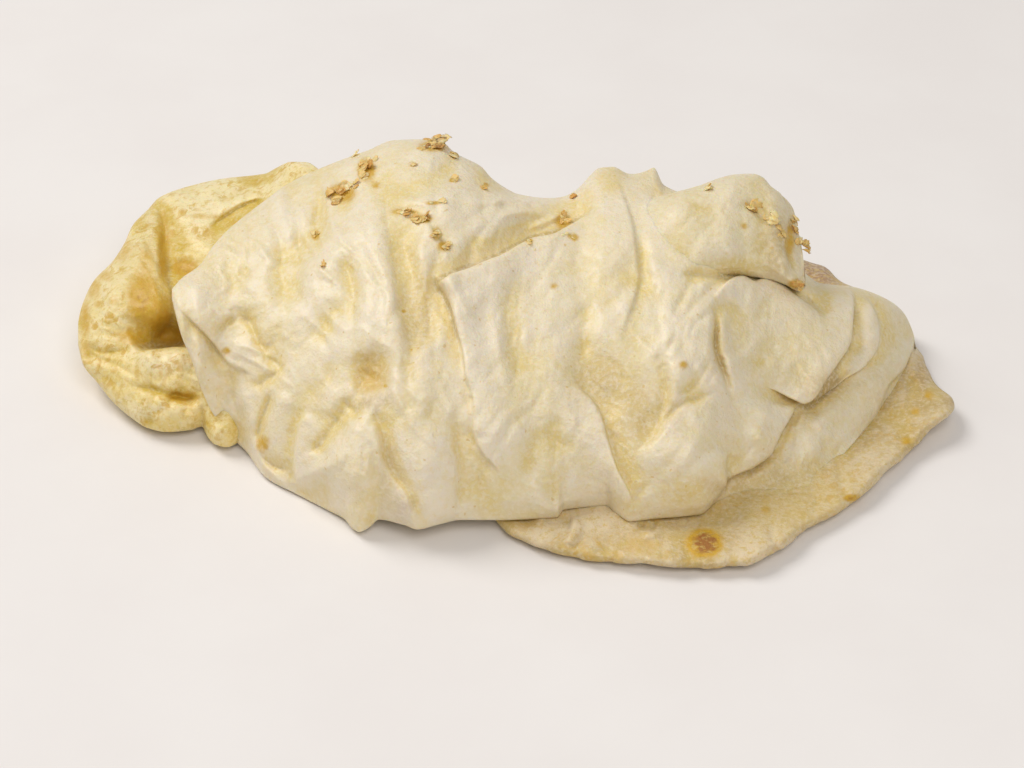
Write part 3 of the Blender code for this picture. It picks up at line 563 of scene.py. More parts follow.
def from_line(sideways, up, line):
    """Distance from a line, positive on its right hand, the way out from it, and the place along it."""
    nearest = np.full(sideways.shape, np.inf)
    signed = np.zeros(sideways.shape)
    place = np.zeros(sideways.shape)
    out = np.zeros(sideways.shape + (2,))
    legs = len(line) - 1
    for k in range(legs):
        leg = line[k + 1] - line[k]
        right, high = sideways - line[k][0], up - line[k][1]
        t = np.clip((right * leg[0] + high * leg[1]) / (leg @ leg), 0, 1)
        off = np.stack((right - t * leg[0], high - t * leg[1]), -1)
        away = np.hypot(off[..., 0], off[..., 1])
        closer = away < nearest
        nearest[closer] = away[closer]
        hand = np.where(leg[1] * right - leg[0] * high >= 0, 1.0, -1.0)
        signed[closer] = (hand * away)[closer]
        place[closer] = ((k + t) / legs)[closer]
        out[closer] = np.array((leg[1], -leg[0])) / np.hypot(*leg)
    return signed, out, place


def ease(x):
    x = np.clip(x, 0, 1)
    return x * x * (3 - 2 * x)


class Surface:
    """What is known of each point of a loft: where it is seen, its relief, its lean and the painted shade
    of its creases and lips.
    """

    def __init__(self, sideways, up, seed):
        first, second = seed + WANDER_SEED, seed + WANDER_SEED + 1
        self.sideways = sideways + WANDER * wrinkles(sideways, up, first, *WANDER_WAVES)
        self.up = up + WANDER * wrinkles(sideways, up, second, *WANDER_WAVES)
        self.relief = np.zeros(sideways.shape)
        self.lean = np.zeros(sideways.shape + (2,))
        self.crease_shade = np.zeros(sideways.shape)

    def near(self, places, reach):
        """Which points are seen within reach of the box round some places."""
        low, high = places.min(axis=0) - reach, places.max(axis=0) + reach
        return ((self.sideways > low[0]) & (self.sideways < high[0])
                & (self.up > low[1]) & (self.up < high[1]))

    def add(self, fold):
        if fold["kind"] == "bump":
            self.add_bump(fold)
        elif fold["kind"] in ("ridge", "valley"):
            self.add_ridge(fold)
        else:
            self.add_lip(fold)

    def add_bump(self, fold):
        centre = np.array((across(fold["centre"][0]), above(fold["centre"][1])))
        here = self.near(centre[None], BUMP_REACH * max(fold["radii"]))
        right = self.sideways[here] - centre[0]
        high = self.up[here] - centre[1]
        turn = math.radians(fold["turn"])
        u = (right * math.cos(turn) + high * math.sin(turn)) / fold["radii"][0]
        v = (high * math.cos(turn) - right * math.sin(turn)) / fold["radii"][1]
        self.relief[here] += fold["height"] * np.exp(-(u * u + v * v) ** BUMP_FLATNESS)

    def add_ridge(self, fold):
        line = fold_line(fold["path"])
        here = self.near(line, (CREASE_REACH + CREASE_MARGIN) * fold["width"])
        signed, _, place = from_line(self.sideways[here], self.up[here], line)
        strength = ease(place / fold["fade"]) * ease((1 - place) / fold["fade"])
        if fold["height"] > 0 or fold["kind"] == "valley":
            shape = strength * np.exp(-(signed / fold["width"]) ** 2)
        else:
            flank = (np.hypot(signed, CREASE_FLOOR) - CREASE_FLOOR) / fold["width"]
            shape = strength * np.exp(-flank) * ease((CREASE_REACH - flank) / 2)
            # A crease is painted darker along its V, as shade
            self.crease_shade[here] -= fold["height"] / CREASE_SHADE_TONE * shape
        self.relief[here] += fold["height"] * shape

    def add_lip(self, fold):
        line = fold_line(fold["path"])
        here = self.near(line, max(fold["reach"], fold["sink_reach"]) + LIP_MARGIN)
        signed, out, place = from_line(self.sideways[here], self.up[here], line)
        strength = ease(place / fold["fade"]) * ease((1 - place) / fold["fade"])
        roundness = fold["roundness"]
        crispness = ease(CRISP_START - CRISP_FALL * roundness)
        lean = crispness * min(LEAN_MOST, LEAN_SHARE * (fold["rise"] + fold["sink"])) * strength
        signed = signed - LEAN_SHIFT * lean
        over = np.clip((signed + SOFT_EDGE) / (roundness + SOFT_EDGE), 0, 1)
        edge = 1 - (1 - over) ** 3
        high_side = edge * ease(1 - signed / fold["reach"])
        low_side = (1 - edge) * ease(1 + signed / fold["sink_reach"])
        self.relief[here] += strength * (fold["rise"] * high_side - fold["sink"] * low_side)
        hang = ease(HANG_GAIN * edge - HANG_START) * ease(1 - signed / (HANG_REACH * LEAN_MOST))
        under = (1 - edge) * ease(1 + signed / UNDER_REACH)
        self.lean[here] += ((UNDER_SHARE * under - hang) * lean)[..., None] * out
        # A painted shadow line runs along the low side of the lip's edge
        shade_line = np.exp(-((signed + SHADE_LINE_SHIFT) / SHADE_LINE_WIDTH) ** 2)
        self.crease_shade[here] += strength * (fold["rise"] + fold["sink"]) / LIP_SHADE_TONE * shade_line


def soften(grid):
    """Each value mixed with its neighbours along and across the loft."""
    for axis in (0, 1):
        padding = [(1, 1) if k == axis else (0, 0) for k in range(grid.ndim)]
        wide = np.pad(grid, padding, "edge")
        before = wide.take(range(grid.shape[axis]), axis)
        after = wide.take(range(2, grid.shape[axis] + 2), axis)
        grid = 0.25 * before + 0.5 * grid + 0.25 * after
    return grid


def blurred(grid, half):
    """The mean of each value's square neighbourhood, taken three times over."""
    for _ in range(3):
        for axis in (0, 1):
            padding = [(half + 1, half) if k == axis else (0, 0) for k in range(grid.ndim)]
            total = np.cumsum(np.pad(grid, padding, "edge"), axis=axis)
            size = grid.shape[axis]
            ahead = total.take(range(2 * half + 1, 2 * half + 1 + size), axis)
            behind = total.take(range(size), axis)
            grid = (ahead - behind) / (2 * half + 1)
    return grid


def wrinkles(sideways, up, seed, shortest, longest, waves):
    """A gentle wave, mostly within one of zero, from waves in seeded directions."""
    draw = np.random.default_rng(seed)
    total = np.zeros(sideways.shape)
    for _ in range(waves):
        length = draw.uniform(shortest, longest)
        heading = draw.uniform(0, math.pi)
        phase = draw.uniform(0, 2 * math.pi)
        along = sideways * math.cos(heading) + up * math.sin(heading)
        total += np.sin(2 * math.pi * along / length + phase) * length / longest
    return total / math.sqrt(waves)


def uneven(u, v, seed):
    """Smooth noise between -1 and 1 whose cells are one unit wide."""
    table = np.random.default_rng(seed).uniform(-1, 1, NOISE_TABLE)
    left, low = np.floor(u).astype(int), np.floor(v).astype(int)
    right_share, high_share = ease(u - left), ease(v - low)
    corners = []
    for up_one in (0, 1):
        row = (low + up_one) % NOISE_TABLE[1]
        start, end = table[left % NOISE_TABLE[0], row], table[(left + 1) % NOISE_TABLE[0], row]
        corners.append(start + right_share * (end - start))
    return corners[0] + high_share * (corners[1] - corners[0])


def crumples(sideways, up, seed):
    """Small folds in several directions, each stronger in some places than in others."""
    bends = [CRUMPLE_BEND * uneven(sideways / BEND_CELL, up / BEND_CELL, seed + BEND_SEED + k)
             for k in (0, 1)]
    right, high = sideways + bends[0], up + bends[1]
    total = np.zeros(sideways.shape)
    for k, (width, length, heading, height, sharp) in enumerate(CRUMPLES):
        turn = math.radians(heading)
        across_fold = (right * math.cos(turn) + high * math.sin(turn)) / width
        along_fold = (high * math.cos(turn) - right * math.sin(turn)) / length
        wave = uneven(across_fold, along_fold, seed + FOLD_SEED + k)
        if sharp:
            wave = sharp * (SHARP_GAIN * np.sqrt(wave * wave + SHARP_ROUND) - SHARP_DROP)
        patches = uneven(sideways / PATCH_CELL, up / PATCH_CELL, seed + PATCH_SEED + k)
        total += height * ease(PATCH_LEVEL + PATCH_SPREAD * patches) * wave
    return total


def bezier(p0, p1, p2, p3, t):
    return (1 - t) ** 3 * p0 + 3 * (1 - t) ** 2 * t * p1 + 3 * (1 - t) * t * t * p2 + t ** 3 * p3


def steady(values, reach):
    """Values along the columns with anything narrower than the reach, in millimetres, smoothed away."""
    half = min(round(3 * reach / COLUMN_STEP), len(values) - 2)
    offsets = np.arange(-half, half + 1) * COLUMN_STEP
    weights = np.exp(-0.5 * (offsets / reach) ** 2)
    start = 2 * values[0] - values[half:0:-1]
    end = 2 * values[-1] - values[-2:-half - 2:-1]
    return np.convolve(np.concatenate((start, values, end)), weights / weights.sum(), "valid")


def section(shape, columns):
    """The bare upright section of a mound at each column, from its toe over the crest to the table.

    The body follows a steadied outline, and the outline's own detail stays close to its edge.
    """
    true_foot = above(curve(shape["foot"], columns))
    true_crest = above(curve(shape["crest"], columns))
    to_end = np.minimum(columns - columns[0], columns[-1] - columns) * PIXEL
    inner = ease(to_end / END_REACH)
    foot_up = true_foot + inner * (steady(true_foot, FOOT_STEADY) - true_foot)
    crest_up = true_crest + inner * (steady(true_crest, CREST_STEADY) - true_crest)
    lift = steady(curve(shape["lift"], columns), FOOT_STEADY)
    under = curve(shape["under"], columns)
    tallness = crest_up - foot_up
    height = np.minimum(curve(shape["height"], columns), lift + LEAST_RISE + STEEPEST_RISE * tallness)
    toe = np.minimum(shape.get("toe", TOE), TOE_SHARE * (height - lift))
    back = curve(shape["back"], columns)
    belly = curve(shape.get("belly", BELLY), columns)
    bulge = curve(shape.get("bulge", BULGE), columns)
    foot_y = y_seen_at(foot_up, lift) - toe * (SIN + COS - 1) / SIN
    crest_y = y_seen_at(crest_up, height) - FIRST_STEP_BACK
    t_front = np.linspace(0, 1, FRONT_STEPS)[:, None]
    t_back = np.linspace(0, 1, BACK_STEPS)[1:, None]
    turn = np.linspace(0, math.pi / 2, TOE_STEPS + 1)[:-1, None]
    toe_ys = foot_y + toe * (1 - np.sin(turn))
    toe_zs = lift + toe * (1 - np.cos(turn))
    for _ in range(CREST_ROUNDS):
        run = crest_y - foot_y
        back_y = crest_y + back
        belly_z = lift + belly * (height - lift)
        slump_z = under + BACK_SLUMP * (height - under)
        front_ys = bezier(foot_y, foot_y - bulge * run, crest_y - CREST_LEAD * run, crest_y, t_front)
        front_zs = bezier(lift + toe, belly_z, height, height, t_front)
        back_ys = bezier(crest_y, crest_y + BACK_LEAD * back, back_y - BACK_TOE, back_y, t_back)
        back_zs = bezier(height, height, slump_z, under, t_back)
        ys = np.vstack((toe_ys, front_ys, back_ys))
        zs = np.vstack((toe_zs, front_zs, back_zs))
        crest_y = crest_y + (crest_up - seen_height(ys, zs).max(axis=0)) / SIN
    up = seen_height(ys, zs)
    before = np.arange(len(ys))[:, None] <= up.argmax(axis=0)
    below_crest = np.where(before, crest_up - up, 0)
    past_crest = np.where(before, 0, height - zs)
    near_crest = np.exp(-((below_crest + past_crest) / EDGE_DETAIL) ** 2)
    near_foot = np.exp(-((up - foot_up) / EDGE_DETAIL) ** 2) * before
    ys += (near_crest * (true_crest - crest_up) + near_foot * (true_foot - foot_up)) / SIN
    return ys, zs, lift, under


def mound(name, shape, seed):
    """A closed loft of a mound's sections, with its folds raised towards the camera."""
    first, last = shape["foot"][0][0], shape["foot"][-1][0]
    count = round((last - first) * PIXEL / COLUMN_STEP) + 1
    columns = np.linspace(first, last, count)
    ys, zs, lift, under = section(shape, columns)
    up = seen_height(ys, zs)
    crest_row = up.argmax(axis=0)
    rows = np.arange(len(ys))[:, None]
    seen_up = np.where(rows <= crest_row, up, up.max(axis=0))
    wide = np.broadcast_to(across(columns), ys.shape)
    surface = Surface(wide, seen_up, seed)
    for fold in shape["folds"].values():
        surface.add(fold)
    relief = soften(surface.relief + WRINKLE * wrinkles(wide, seen_up, seed, *WRINKLE_WAVES))
    relief = relief + curve(shape["crumple"], columns) * crumples(wide, seen_up, seed + CRUMPLE_SEED)
    strength = FOOT_RELIEF + (1 - FOOT_RELIEF) * ease((zs - lift) / FOOT_FADE)
    behind = np.maximum(rows - crest_row, 0) / BACK_STEPS
    strength *= np.exp(-(behind / BEHIND_FADE) ** 2)
    relief *= strength
    lean = soften(surface.lean) * strength[..., None]
    pleats = PLEAT * wrinkles(wide, zs, seed + PLEAT_SEED, *PLEAT_WAVES)
    pleats += crumples(wide, zs, seed + BACK_CRUMPLE_SEED)
    pleats *= ease(PLEAT_START * behind)
    xs = x_seen_at(wide, ys, zs)
    to_eye = np.stack((-xs, EYE_Y - ys, EYE_Z - zs), -1)
    to_eye /= np.linalg.norm(to_eye, axis=-1, keepdims=True)
    points = np.stack((xs, ys, zs), -1) + relief[..., None] * to_eye
    points[..., 0] += lean[..., 0]
    points[..., 1] += lean[..., 1] * SIN + pleats
    points[..., 2] += lean[..., 1] * COS
    points[..., 2] = np.maximum(points[..., 2], 0)
    foot, heel = points[0], points[-1]
    arch_y = foot[:, 1] + ARCH_SLOPE * (foot[:, 2] - under) + ARCH_START
    arch_y = np.minimum(arch_y, heel[:, 1] - ARCH_START)
    arch = np.stack((foot[:, 0], arch_y, under), -1)
    sole = [heel + t * (arch - heel) for t in np.linspace(0, 1, UNDER_STEPS)[1:]]
    rings = np.vstack((points, np.array(sole))).transpose(1, 0, 2)
    # How hollow each place is: hollows get the butter colour, partly as painted shade, and what stands
    # out a lighter colour
    wide_depth = (blurred(relief, WIDE_HALF) - relief) / WIDE_TONE
    narrow_depth = (blurred(relief, NARROW_HALF) - relief) / NARROW_TONE
    depth = blurred(wide_depth + narrow_depth, 1)
    crease_shade = np.clip(surface.crease_shade * strength, 0, 1)
    fallen = np.where(rows > crest_row, zs.max(axis=0) - zs, 0)
    colours = {"hollow": np.clip(depth, 0, 1), "top": np.clip(-depth, 0, 1), "crease_shade": crease_shade,
               "side": wide, "rise": seen_up + fallen}
    padded = {}
    for key, values in colours.items():
        padded[key] = np.pad(values, ((0, len(sole)), (0, 0)), "edge").T
    return closed_grid(name, rings, padded)


def closed_grid(name, rings, attributes):
    """A closed mesh from closed rings of equal length, with a fan of faces over each end ring."""
    count, size = rings.shape[:2]
    corner = np.arange(count * size).reshape(count, size)
    after = np.roll(corner, -1, axis=1)
    quads = np.stack((corner[:-1], corner[1:], after[1:], after[:-1]), -1).reshape(-1, 4)
    hubs = np.array((rings[0].mean(axis=0), rings[-1].mean(axis=0)))
    points = np.vstack((rings.reshape(-1, 3), hubs)) * MM
    faces = quads.tolist()
    faces += [[a, b, count * size] for a, b in zip(corner[0], after[0])]
    faces += [[b, a, count * size + 1] for a, b in zip(corner[-1], after[-1])]
    flat = {}
    for key, values in attributes.items():
        flat[key] = np.concatenate((values.reshape(-1), values[0].mean(keepdims=True),
                                    values[-1].mean(keepdims=True)))
    return mesh_object(name, points, faces, flat)


def mesh_object(name, points, faces, attributes):
    mesh = bpy.data.meshes.new(name)
    if signed_volume(points, faces) < 0:
        faces = [face[::-1] for face in faces]
    mesh.from_pydata(points.tolist(), [], faces)
    for key, values in attributes.items():
        layer = mesh.attributes.new(key, "FLOAT", "POINT")
        layer.data.foreach_set("value", np.ascontiguousarray(values, np.float32))
    thing = bpy.data.objects.new(name, mesh)
    bpy.context.scene.collection.objects.link(thing)
    return thing


def signed_volume(points, faces):
    """Six times the volume inside the faces, negative if they face inwards."""
    total = 0.0
    for size in (3, 4):
        some = np.array([face for face in faces if len(face) == size], int).reshape(-1, size)
        for k in range(1, size - 1):
            a, b, c = points[some[:, 0]], points[some[:, k]], points[some[:, k + 1]]
            total += np.einsum("ij,ij->", a, np.cross(b, c))
    return total


def flat_layer(name, shape):
    """The lowest layer: rings from its middle to its edge, a rounded rim and a tip that curls up."""
    middle = np.array((across(shape["middle"][0]), above(shape["middle"][1])))
    outline = closed_line(shape["edge"])
    thickness = shape["thickness"]
    tip = np.array((across(shape["tip"][0]), above(shape["tip"][1])))
    rim = shape["rim"]
    hidden = np.linspace(shape["hub"], SHOWN_FROM, HIDDEN_RINGS, endpoint=False)
    shown = np.linspace(SHOWN_FROM, 1 - rim, TOP_RINGS)
    over_edge = np.linspace(1 - RIM_START * rim, 1, RIM_RINGS)
    rings = []
    for s in np.concatenate((hidden, shown, over_edge)):
        over_rim = max(0.0, (s - 1 + rim) / rim)
        rings.append((s, thickness * math.sqrt(1 - shape["rim_drop"] * over_rim ** 2)))
    rings += [(LOW_RIM[0], LOW_RIM[1] * thickness), (SOLE_EDGE, 0.0)]
    rings += [(s, 0.0) for s in SOLE_RINGS]
    seen = np.array([middle + s * (outline - middle) for s, _ in rings])
    surface = Surface(seen[..., 0], seen[..., 1], LAYER_SEED)
    for fold in shape["folds"].values():
        surface.add(fold)
    ragged = RAGGED * wrinkles(outline[:, 0], outline[:, 1], LAYER_SEED + RAGGED_SEED, *RAGGED_WAVES)
    outward = (outline - middle) / np.linalg.norm(outline - middle, axis=1)[:, None]
    points, heights = [], []
    for k, (s, z) in enumerate(rings):
        seen[k] += (ragged * ease((s - RAGGED_FROM) / RAGGED_SPAN))[:, None] * outward
        side, up = seen[k].T
        waves = shape["wave"] * wrinkles(side, up, LAYER_SEED, *LAYER_WAVES)
        waves += shape["crumple"] * crumples(side, up, LAYER_SEED + CRUMPLE_SEED)
        waves += surface.relief[k]
        heights.append(waves)
        near_tip = ease(1 - np.linalg.norm(seen[k] - tip, axis=1) / shape["tip_reach"])
        on_top = z > thickness * LOW_RIM[1]
        on_top_or_rim = k < len(rings) - len(SOLE_RINGS) - 1
        zs = np.full(len(seen[k]), z) + waves * on_top + shape["tip_lift"] * near_tip * on_top_or_rim
        ys = y_seen_at(up, zs)
        points.append(np.stack((x_seen_at(side, ys, zs), ys, np.maximum(zs, 0)), -1))
    # How low each place lies: hollows get the butter colour, partly as painted shade, and what stands out
    # a lighter colour
    depth = -LAYER_TONE * np.array(heights)
    colours = {"hollow": np.clip(depth, 0, 1), "top": np.clip(-depth, 0, 1),
               "crease_shade": np.clip(surface.crease_shade, 0, 1), "side": seen[..., 0], "rise": seen[..., 1]}
    return closed_grid(name, np.array(points), colours)


def apply_modifiers(thing):
    """Give an object the mesh that its modifiers make, and drop them."""
    bpy.context.view_layer.update()
    evaluated = thing.evaluated_get(bpy.context.evaluated_depsgraph_get())
    made = bpy.data.meshes.new_from_object(evaluated)
    thing.modifiers.clear()
    thing.data = made


def thin_out(thing):
    """Fewer faces, where the surface is smooth, so that the piece stays under its limit."""
    triangles = sum(len(face.vertices) - 2 for face in thing.data.polygons)
    if triangles > PIECE_LIMIT:
        thin = thing.modifiers.new("thin", "DECIMATE")
        thin.ratio = PIECE_LIMIT / triangles
        apply_modifiers(thing)


def fit_to_box(things):
    """Move the pieces into the CAD model's box and shrink them along each axis that they are too long
    for, and return the move in metres.
    """
    clouds = [np.array([v.co for v in thing.data.vertices]) for thing in things]
    low = np.min([cloud.min(axis=0) for cloud in clouds], axis=0)
    high = np.max([cloud.max(axis=0) for cloud in clouds], axis=0)
    box_low, box_high = np.array(CAD_BOX[0]), np.array(CAD_BOX[1])
    move = (box_low + box_high - low - high) / 2
    move[2] = box_low[2] - low[2]
    scale = np.minimum(1.0, (box_high - box_low) / (high - low))
    centre = (low + high) / 2
    centre[2] = low[2]
    for thing, cloud in zip(things, clouds):
        placed = centre + scale * (cloud - centre) + move
        thing.data.vertices.foreach_set("co", placed.astype(np.float32).reshape(-1))
        thing.data.update()
    return move


def eye_at(move):
    return Vector((move[0], move[1] + EYE_Y * MM, EYE_Z * MM))


def tree_of(thing):
    mesh = thing.data
    return BVHTree.FromPolygons([v.co for v in mesh.vertices], [f.vertices for f in mesh.polygons])


def blend(first, second, meeting, move):
    """Round off the crossing of two pieces: both rise towards the eye alike, most where they cross."""
    eye = eye_at(move)
    centre, radii, reach = meeting
    trees = {first: tree_of(second), second: tree_of(first)}
    for thing, other in trees.items():
        mesh = thing.data
        near = np.minimum(1.0, MEETING_FLATNESS * spot_strength(mesh, centre, radii))
        for k in np.flatnonzero(near > MEETING_FAINTEST):
            vertex = mesh.vertices[int(k)]
            ray = vertex.co - eye
            place, _, _, distance = other.ray_cast(eye, ray.normalized())
            if place is None:
                continue
            closeness = max(0.0, 1 - abs(ray.length - distance) / (reach * MM))
            rise = MEETING_RISE * reach * MM * closeness ** 2 * float(near[k])
            vertex.co = vertex.co - rise * ray.normalized()


# Node helpers, with the sockets of the colour mixer that they use
MIX_SHARE = 0
MIX_FIRST = 6
MIX_SECOND = 7
MIX_RESULT = 2


def new_node(tree, kind, **settings):
    node = tree.nodes.new(kind)
    for key, value in settings.items():
        setattr(node, key, value)
    return node


def put(tree, node, values):
    """Fill a node's sockets: a socket is linked, anything else is set as the socket's own value."""
    for key, value in values.items():
        if isinstance(value, bpy.types.NodeSocket):
            tree.links.new(value, node.inputs[key])
        else:
            node.inputs[key].default_value = value
    return node


def maths(tree, operation, a, b=0.0, c=0.0):
    node = new_node(tree, "ShaderNodeMath", operation=operation)
    return put(tree, node, {0: a, 1: b, 2: c}).outputs[0]


def ramp(tree, value, low, high, to_low=0.0, to_high=1.0):
    """A value that goes smoothly from to_low at low to to_high at high."""
    node = new_node(tree, "ShaderNodeMapRange", interpolation_type="SMOOTHSTEP")
    put(tree, node, {"Value": value, "From Min": low, "From Max": high, "To Min": to_low,
                     "To Max": to_high})
    return node.outputs["Result"]


def noise(tree, place, size_mm, detail=3.0, roughness=0.55, distortion=0.0):
    node = new_node(tree, "ShaderNodeTexNoise")
    put(tree, node, {"Vector": place, "Scale": 1 / (size_mm * MM), "Detail": detail,
                     "Roughness": roughness, "Distortion": distortion})
    return node.outputs["Fac"]


def mix(tree, share, first, second):
    """Two colours mixed: at a share of 1 it is all the second."""
    node = new_node(tree, "ShaderNodeMix", data_type="RGBA")
    values = {MIX_SHARE: share}
    for key, colour in ((MIX_FIRST, first), (MIX_SECOND, second)):
        values[key] = colour if isinstance(colour, bpy.types.NodeSocket) else (*colour, 1.0)
    return put(tree, node, values).outputs[MIX_RESULT]


def attribute(tree, name):
    return new_node(tree, "ShaderNodeAttribute", attribute_name=name).outputs["Fac"]


def new_material(name):
    """A material, its node tree, its shader and the socket that gives the place on the object."""
    material = bpy.data.materials.new(name)
    material.use_nodes = True
    tree = material.node_tree
    place = new_node(tree, "ShaderNodeTexCoord").outputs["Object"]
    return material, tree, tree.nodes["Principled BSDF"], place


# Colours of the bread, as linear light
GOLD = (0.60, 0.36, 0.035)
BROWN = (0.34, 0.14, 0.03)
# The dark colour painted as shade under lips and in creases
CONTACT_SHADE = (0.46, 0.33, 0.12)
# The dull brown painted as shade
PAINTED_SHADE_BROWN = (0.34, 0.20, 0.12)
SHARED = (0.66, 0.51, 0.23)

# Each piece's colours, how floury it is and how strong its golden mottling and its freckles are
TONES = {
    "paratha_heap": {
        "pale": (0.80, 0.695, 0.47), "cream": (0.77, 0.65, 0.37), "flour": (0.84, 0.75, 0.60),
        "butter_and_shade": (0.76, 0.60, 0.24), "flour_and_light": 0.50, "toast": 0.08, "freckled": 0.35,
    },
    "paratha_loop": {
        "pale": (0.83, 0.70, 0.36), "cream": (0.79, 0.62, 0.23), "flour": (0.86, 0.76, 0.50),
        "butter_and_shade": (0.60, 0.41, 0.03), "flour_and_light": 0.38, "toast": 0.85, "freckled": 0.5,
    },
    "paratha_roll": {
        "pale": (0.77, 0.67, 0.43), "cream": (0.75, 0.63, 0.36), "flour": (0.82, 0.73, 0.56),
        "butter_and_shade": (0.68, 0.52, 0.18), "flour_and_light": 0.45, "toast": 0.10, "freckled": 0.35,
    },
    "paratha_layer": {
        "pale": (0.62, 0.485, 0.27), "cream": (0.52, 0.375, 0.15), "flour": (0.74, 0.62, 0.42),
        "butter_and_shade": (0.60, 0.44, 0.14), "flour_and_light": 0.60, "toast": 0.5, "freckled": 0.75,
    },
}

# The bread's patterns: size in millimetres, detail, and for some also roughness and distortion
BROAD = (38.0, 3.0)
WIDE_MOTTLE = (15.0, 2.0)
PATCHES = (7.0, 4.0, 0.6, 0.4)
MOTTLE = (3.6, 4.0, 0.66, 0.8)
DIMPLES = (3.2, 3.0)
CRINKLES = (2.4, 2.0, 0.5, 0.6)
FRECKLES = (1.9, 3.0, 0.7)
RAGS = (1.8, 3.0)
SPECKS = (1.3, 0.0)
GRAINS = (1.1, 3.0, 0.6)
FINE = (0.55, 2.0, 0.6)

# Where a pattern or a tint starts to show and where it shows in full, and for some the strength there
CREAM_RAMP = (0.40, 0.60)
FLOUR_RAMP = (0.44, 0.66)
GRAIN_RAMP = (0.42, 0.66)
BROKEN_RAMP = (0.25, 0.65, 1.0, 0.65)
BUTTER_AND_SHADE_RAMP = (0.0, 1.0, 0.0, 0.92)
CONTACT_SHADE_RAMP = (0.5, 1.0, 0.0, 0.8)
MOTTLE_RAMP = (0.49, 0.64)
WIDE_MOTTLE_RAMP = (0.36, 0.62)
RAG_RAMP = (0.25, 0.75, 0.7, 1.25)
GOLD_RAMP = (0.0, 0.55)
BROWN_RAMP = (0.6, 1.2)
SPECK_RAMP = (0.80, 0.86, 0.0, 0.45)
FRECKLE_RAMP = (0.50, 0.68)
ROUGHNESS_RAMP = (0.3, 0.7, 0.44, 0.62)

# How strong the grains of flour are, as a share of how floury the piece is
GRAIN_SHARE = 0.9

# The soft skin with its thin oily coat; how high each fine pattern stands in it, as shares; and how
# strong its bump is and how deep, in millimetres
SKIN = {
    "Subsurface Weight": 0.35, "Subsurface Radius": (1.0, 0.66, 0.26), "Subsurface Scale": 1.3 * MM,
    "Specular IOR Level": 0.5, "IOR": 1.45, "Coat Weight": 0.22, "Coat Roughness": 0.26,
}
GRAIN_HEIGHT = 0.5
FINE_HEIGHT = 0.25
CRINKLE_HEIGHT = 0.8
DIMPLE_HEIGHT = 1.2
SKIN_STRENGTH = 0.75
SKIN_DEPTH = 0.42


def bread_colour(tree, place, patches, grains, tones):
    """The colour of soft bread, with painted shade and light among its tints: each tint is laid over the
    ones before it.
    """
    flour, butter_and_shade, flour_and_light = tones["flour"], tones["butter_and_shade"], tones["flour_and_light"]
    broad = noise(tree, place, *BROAD)
    colour = mix(tree, ramp(tree, broad, *CREAM_RAMP), tones["pale"], tones["cream"])
    colour = mix(tree, ramp(tree, patches, *FLOUR_RAMP, 0.0, flour_and_light), colour, flour)

    # Lighter in the flour colour on what stands out; the butter colour in the hollows, partly the bread's
    # own and partly painted shade; and a painted shadow line under the lips and in the creases
    fold = maths(tree, "MAXIMUM", attribute(tree, "hollow"), attribute(tree, "crease_shade"))
    fold = maths(tree, "MAXIMUM", fold, attribute(tree, "butter_and_shade"))
    broken = maths(tree, "MULTIPLY", fold, ramp(tree, patches, *BROKEN_RAMP))
    colour = mix(tree, maths(tree, "MULTIPLY", attribute(tree, "top"), flour_and_light), colour, flour)
    colour = mix(tree, ramp(tree, broken, *BUTTER_AND_SHADE_RAMP), colour, butter_and_shade)
    colour = mix(tree, ramp(tree, attribute(tree, "crease_shade"), *CONTACT_SHADE_RAMP), colour, CONTACT_SHADE)

    # Painted places: painted shade, one colour where two pieces are one sheet, and white that is partly
    # flour and partly painted light; then grains of flour
    colour = mix(tree, attribute(tree, "painted_shade"), colour, PAINTED_SHADE_BROWN)
    colour = mix(tree, attribute(tree, "shared"), colour, SHARED)
    colour = mix(tree, attribute(tree, "flour_and_light"), colour, flour)
    colour = mix(tree, ramp(tree, grains, *GRAIN_RAMP, 0.0, GRAIN_SHARE * flour_and_light), colour, flour)

    # Golden mottling, and browned spots with ragged edges, which on the loop are partly painted shade
    mottle = ramp(tree, noise(tree, place, *MOTTLE), *MOTTLE_RAMP)
    wide_mottle = ramp(tree, noise(tree, place, *WIDE_MOTTLE), *WIDE_MOTTLE_RAMP)
    toasted = maths(tree, "MULTIPLY", maths(tree, "MULTIPLY", mottle, wide_mottle), tones["toast"])
    rags = ramp(tree, noise(tree, place, *RAGS), *RAG_RAMP)
    stain_and_shade = maths(tree, "MULTIPLY", attribute(tree, "stain_and_shade"), rags)
    golden = maths(tree, "MAXIMUM", toasted, ramp(tree, stain_and_shade, *GOLD_RAMP))
    colour = mix(tree, golden, colour, GOLD)
    colour = mix(tree, ramp(tree, stain_and_shade, *BROWN_RAMP), colour, BROWN)

    # Specks and freckles
    speck = ramp(tree, noise(tree, place, *SPECKS), *SPECK_RAMP)
    colour = mix(tree, speck, colour, GOLD)
    freckle = ramp(tree, noise(tree, place, *FRECKLES), *FRECKLE_RAMP, 0.0, tones["freckled"])
    return mix(tree, freckle, colour, butter_and_shade)


def bread_height(tree, place, grains):
    """The fine unevenness of the bread's skin."""
    fine = noise(tree, place, *FINE)
    crinkle = maths(tree, "ABSOLUTE", maths(tree, "SUBTRACT", noise(tree, place, *CRINKLES), 0.5))
    dimples = noise(tree, place, *DIMPLES)
    height = maths(tree, "MULTIPLY", grains, GRAIN_HEIGHT)
    for pattern, share in ((fine, FINE_HEIGHT), (crinkle, CRINKLE_HEIGHT), (dimples, DIMPLE_HEIGHT)):
        height = maths(tree, "ADD", height, maths(tree, "MULTIPLY", pattern, share))
    return height


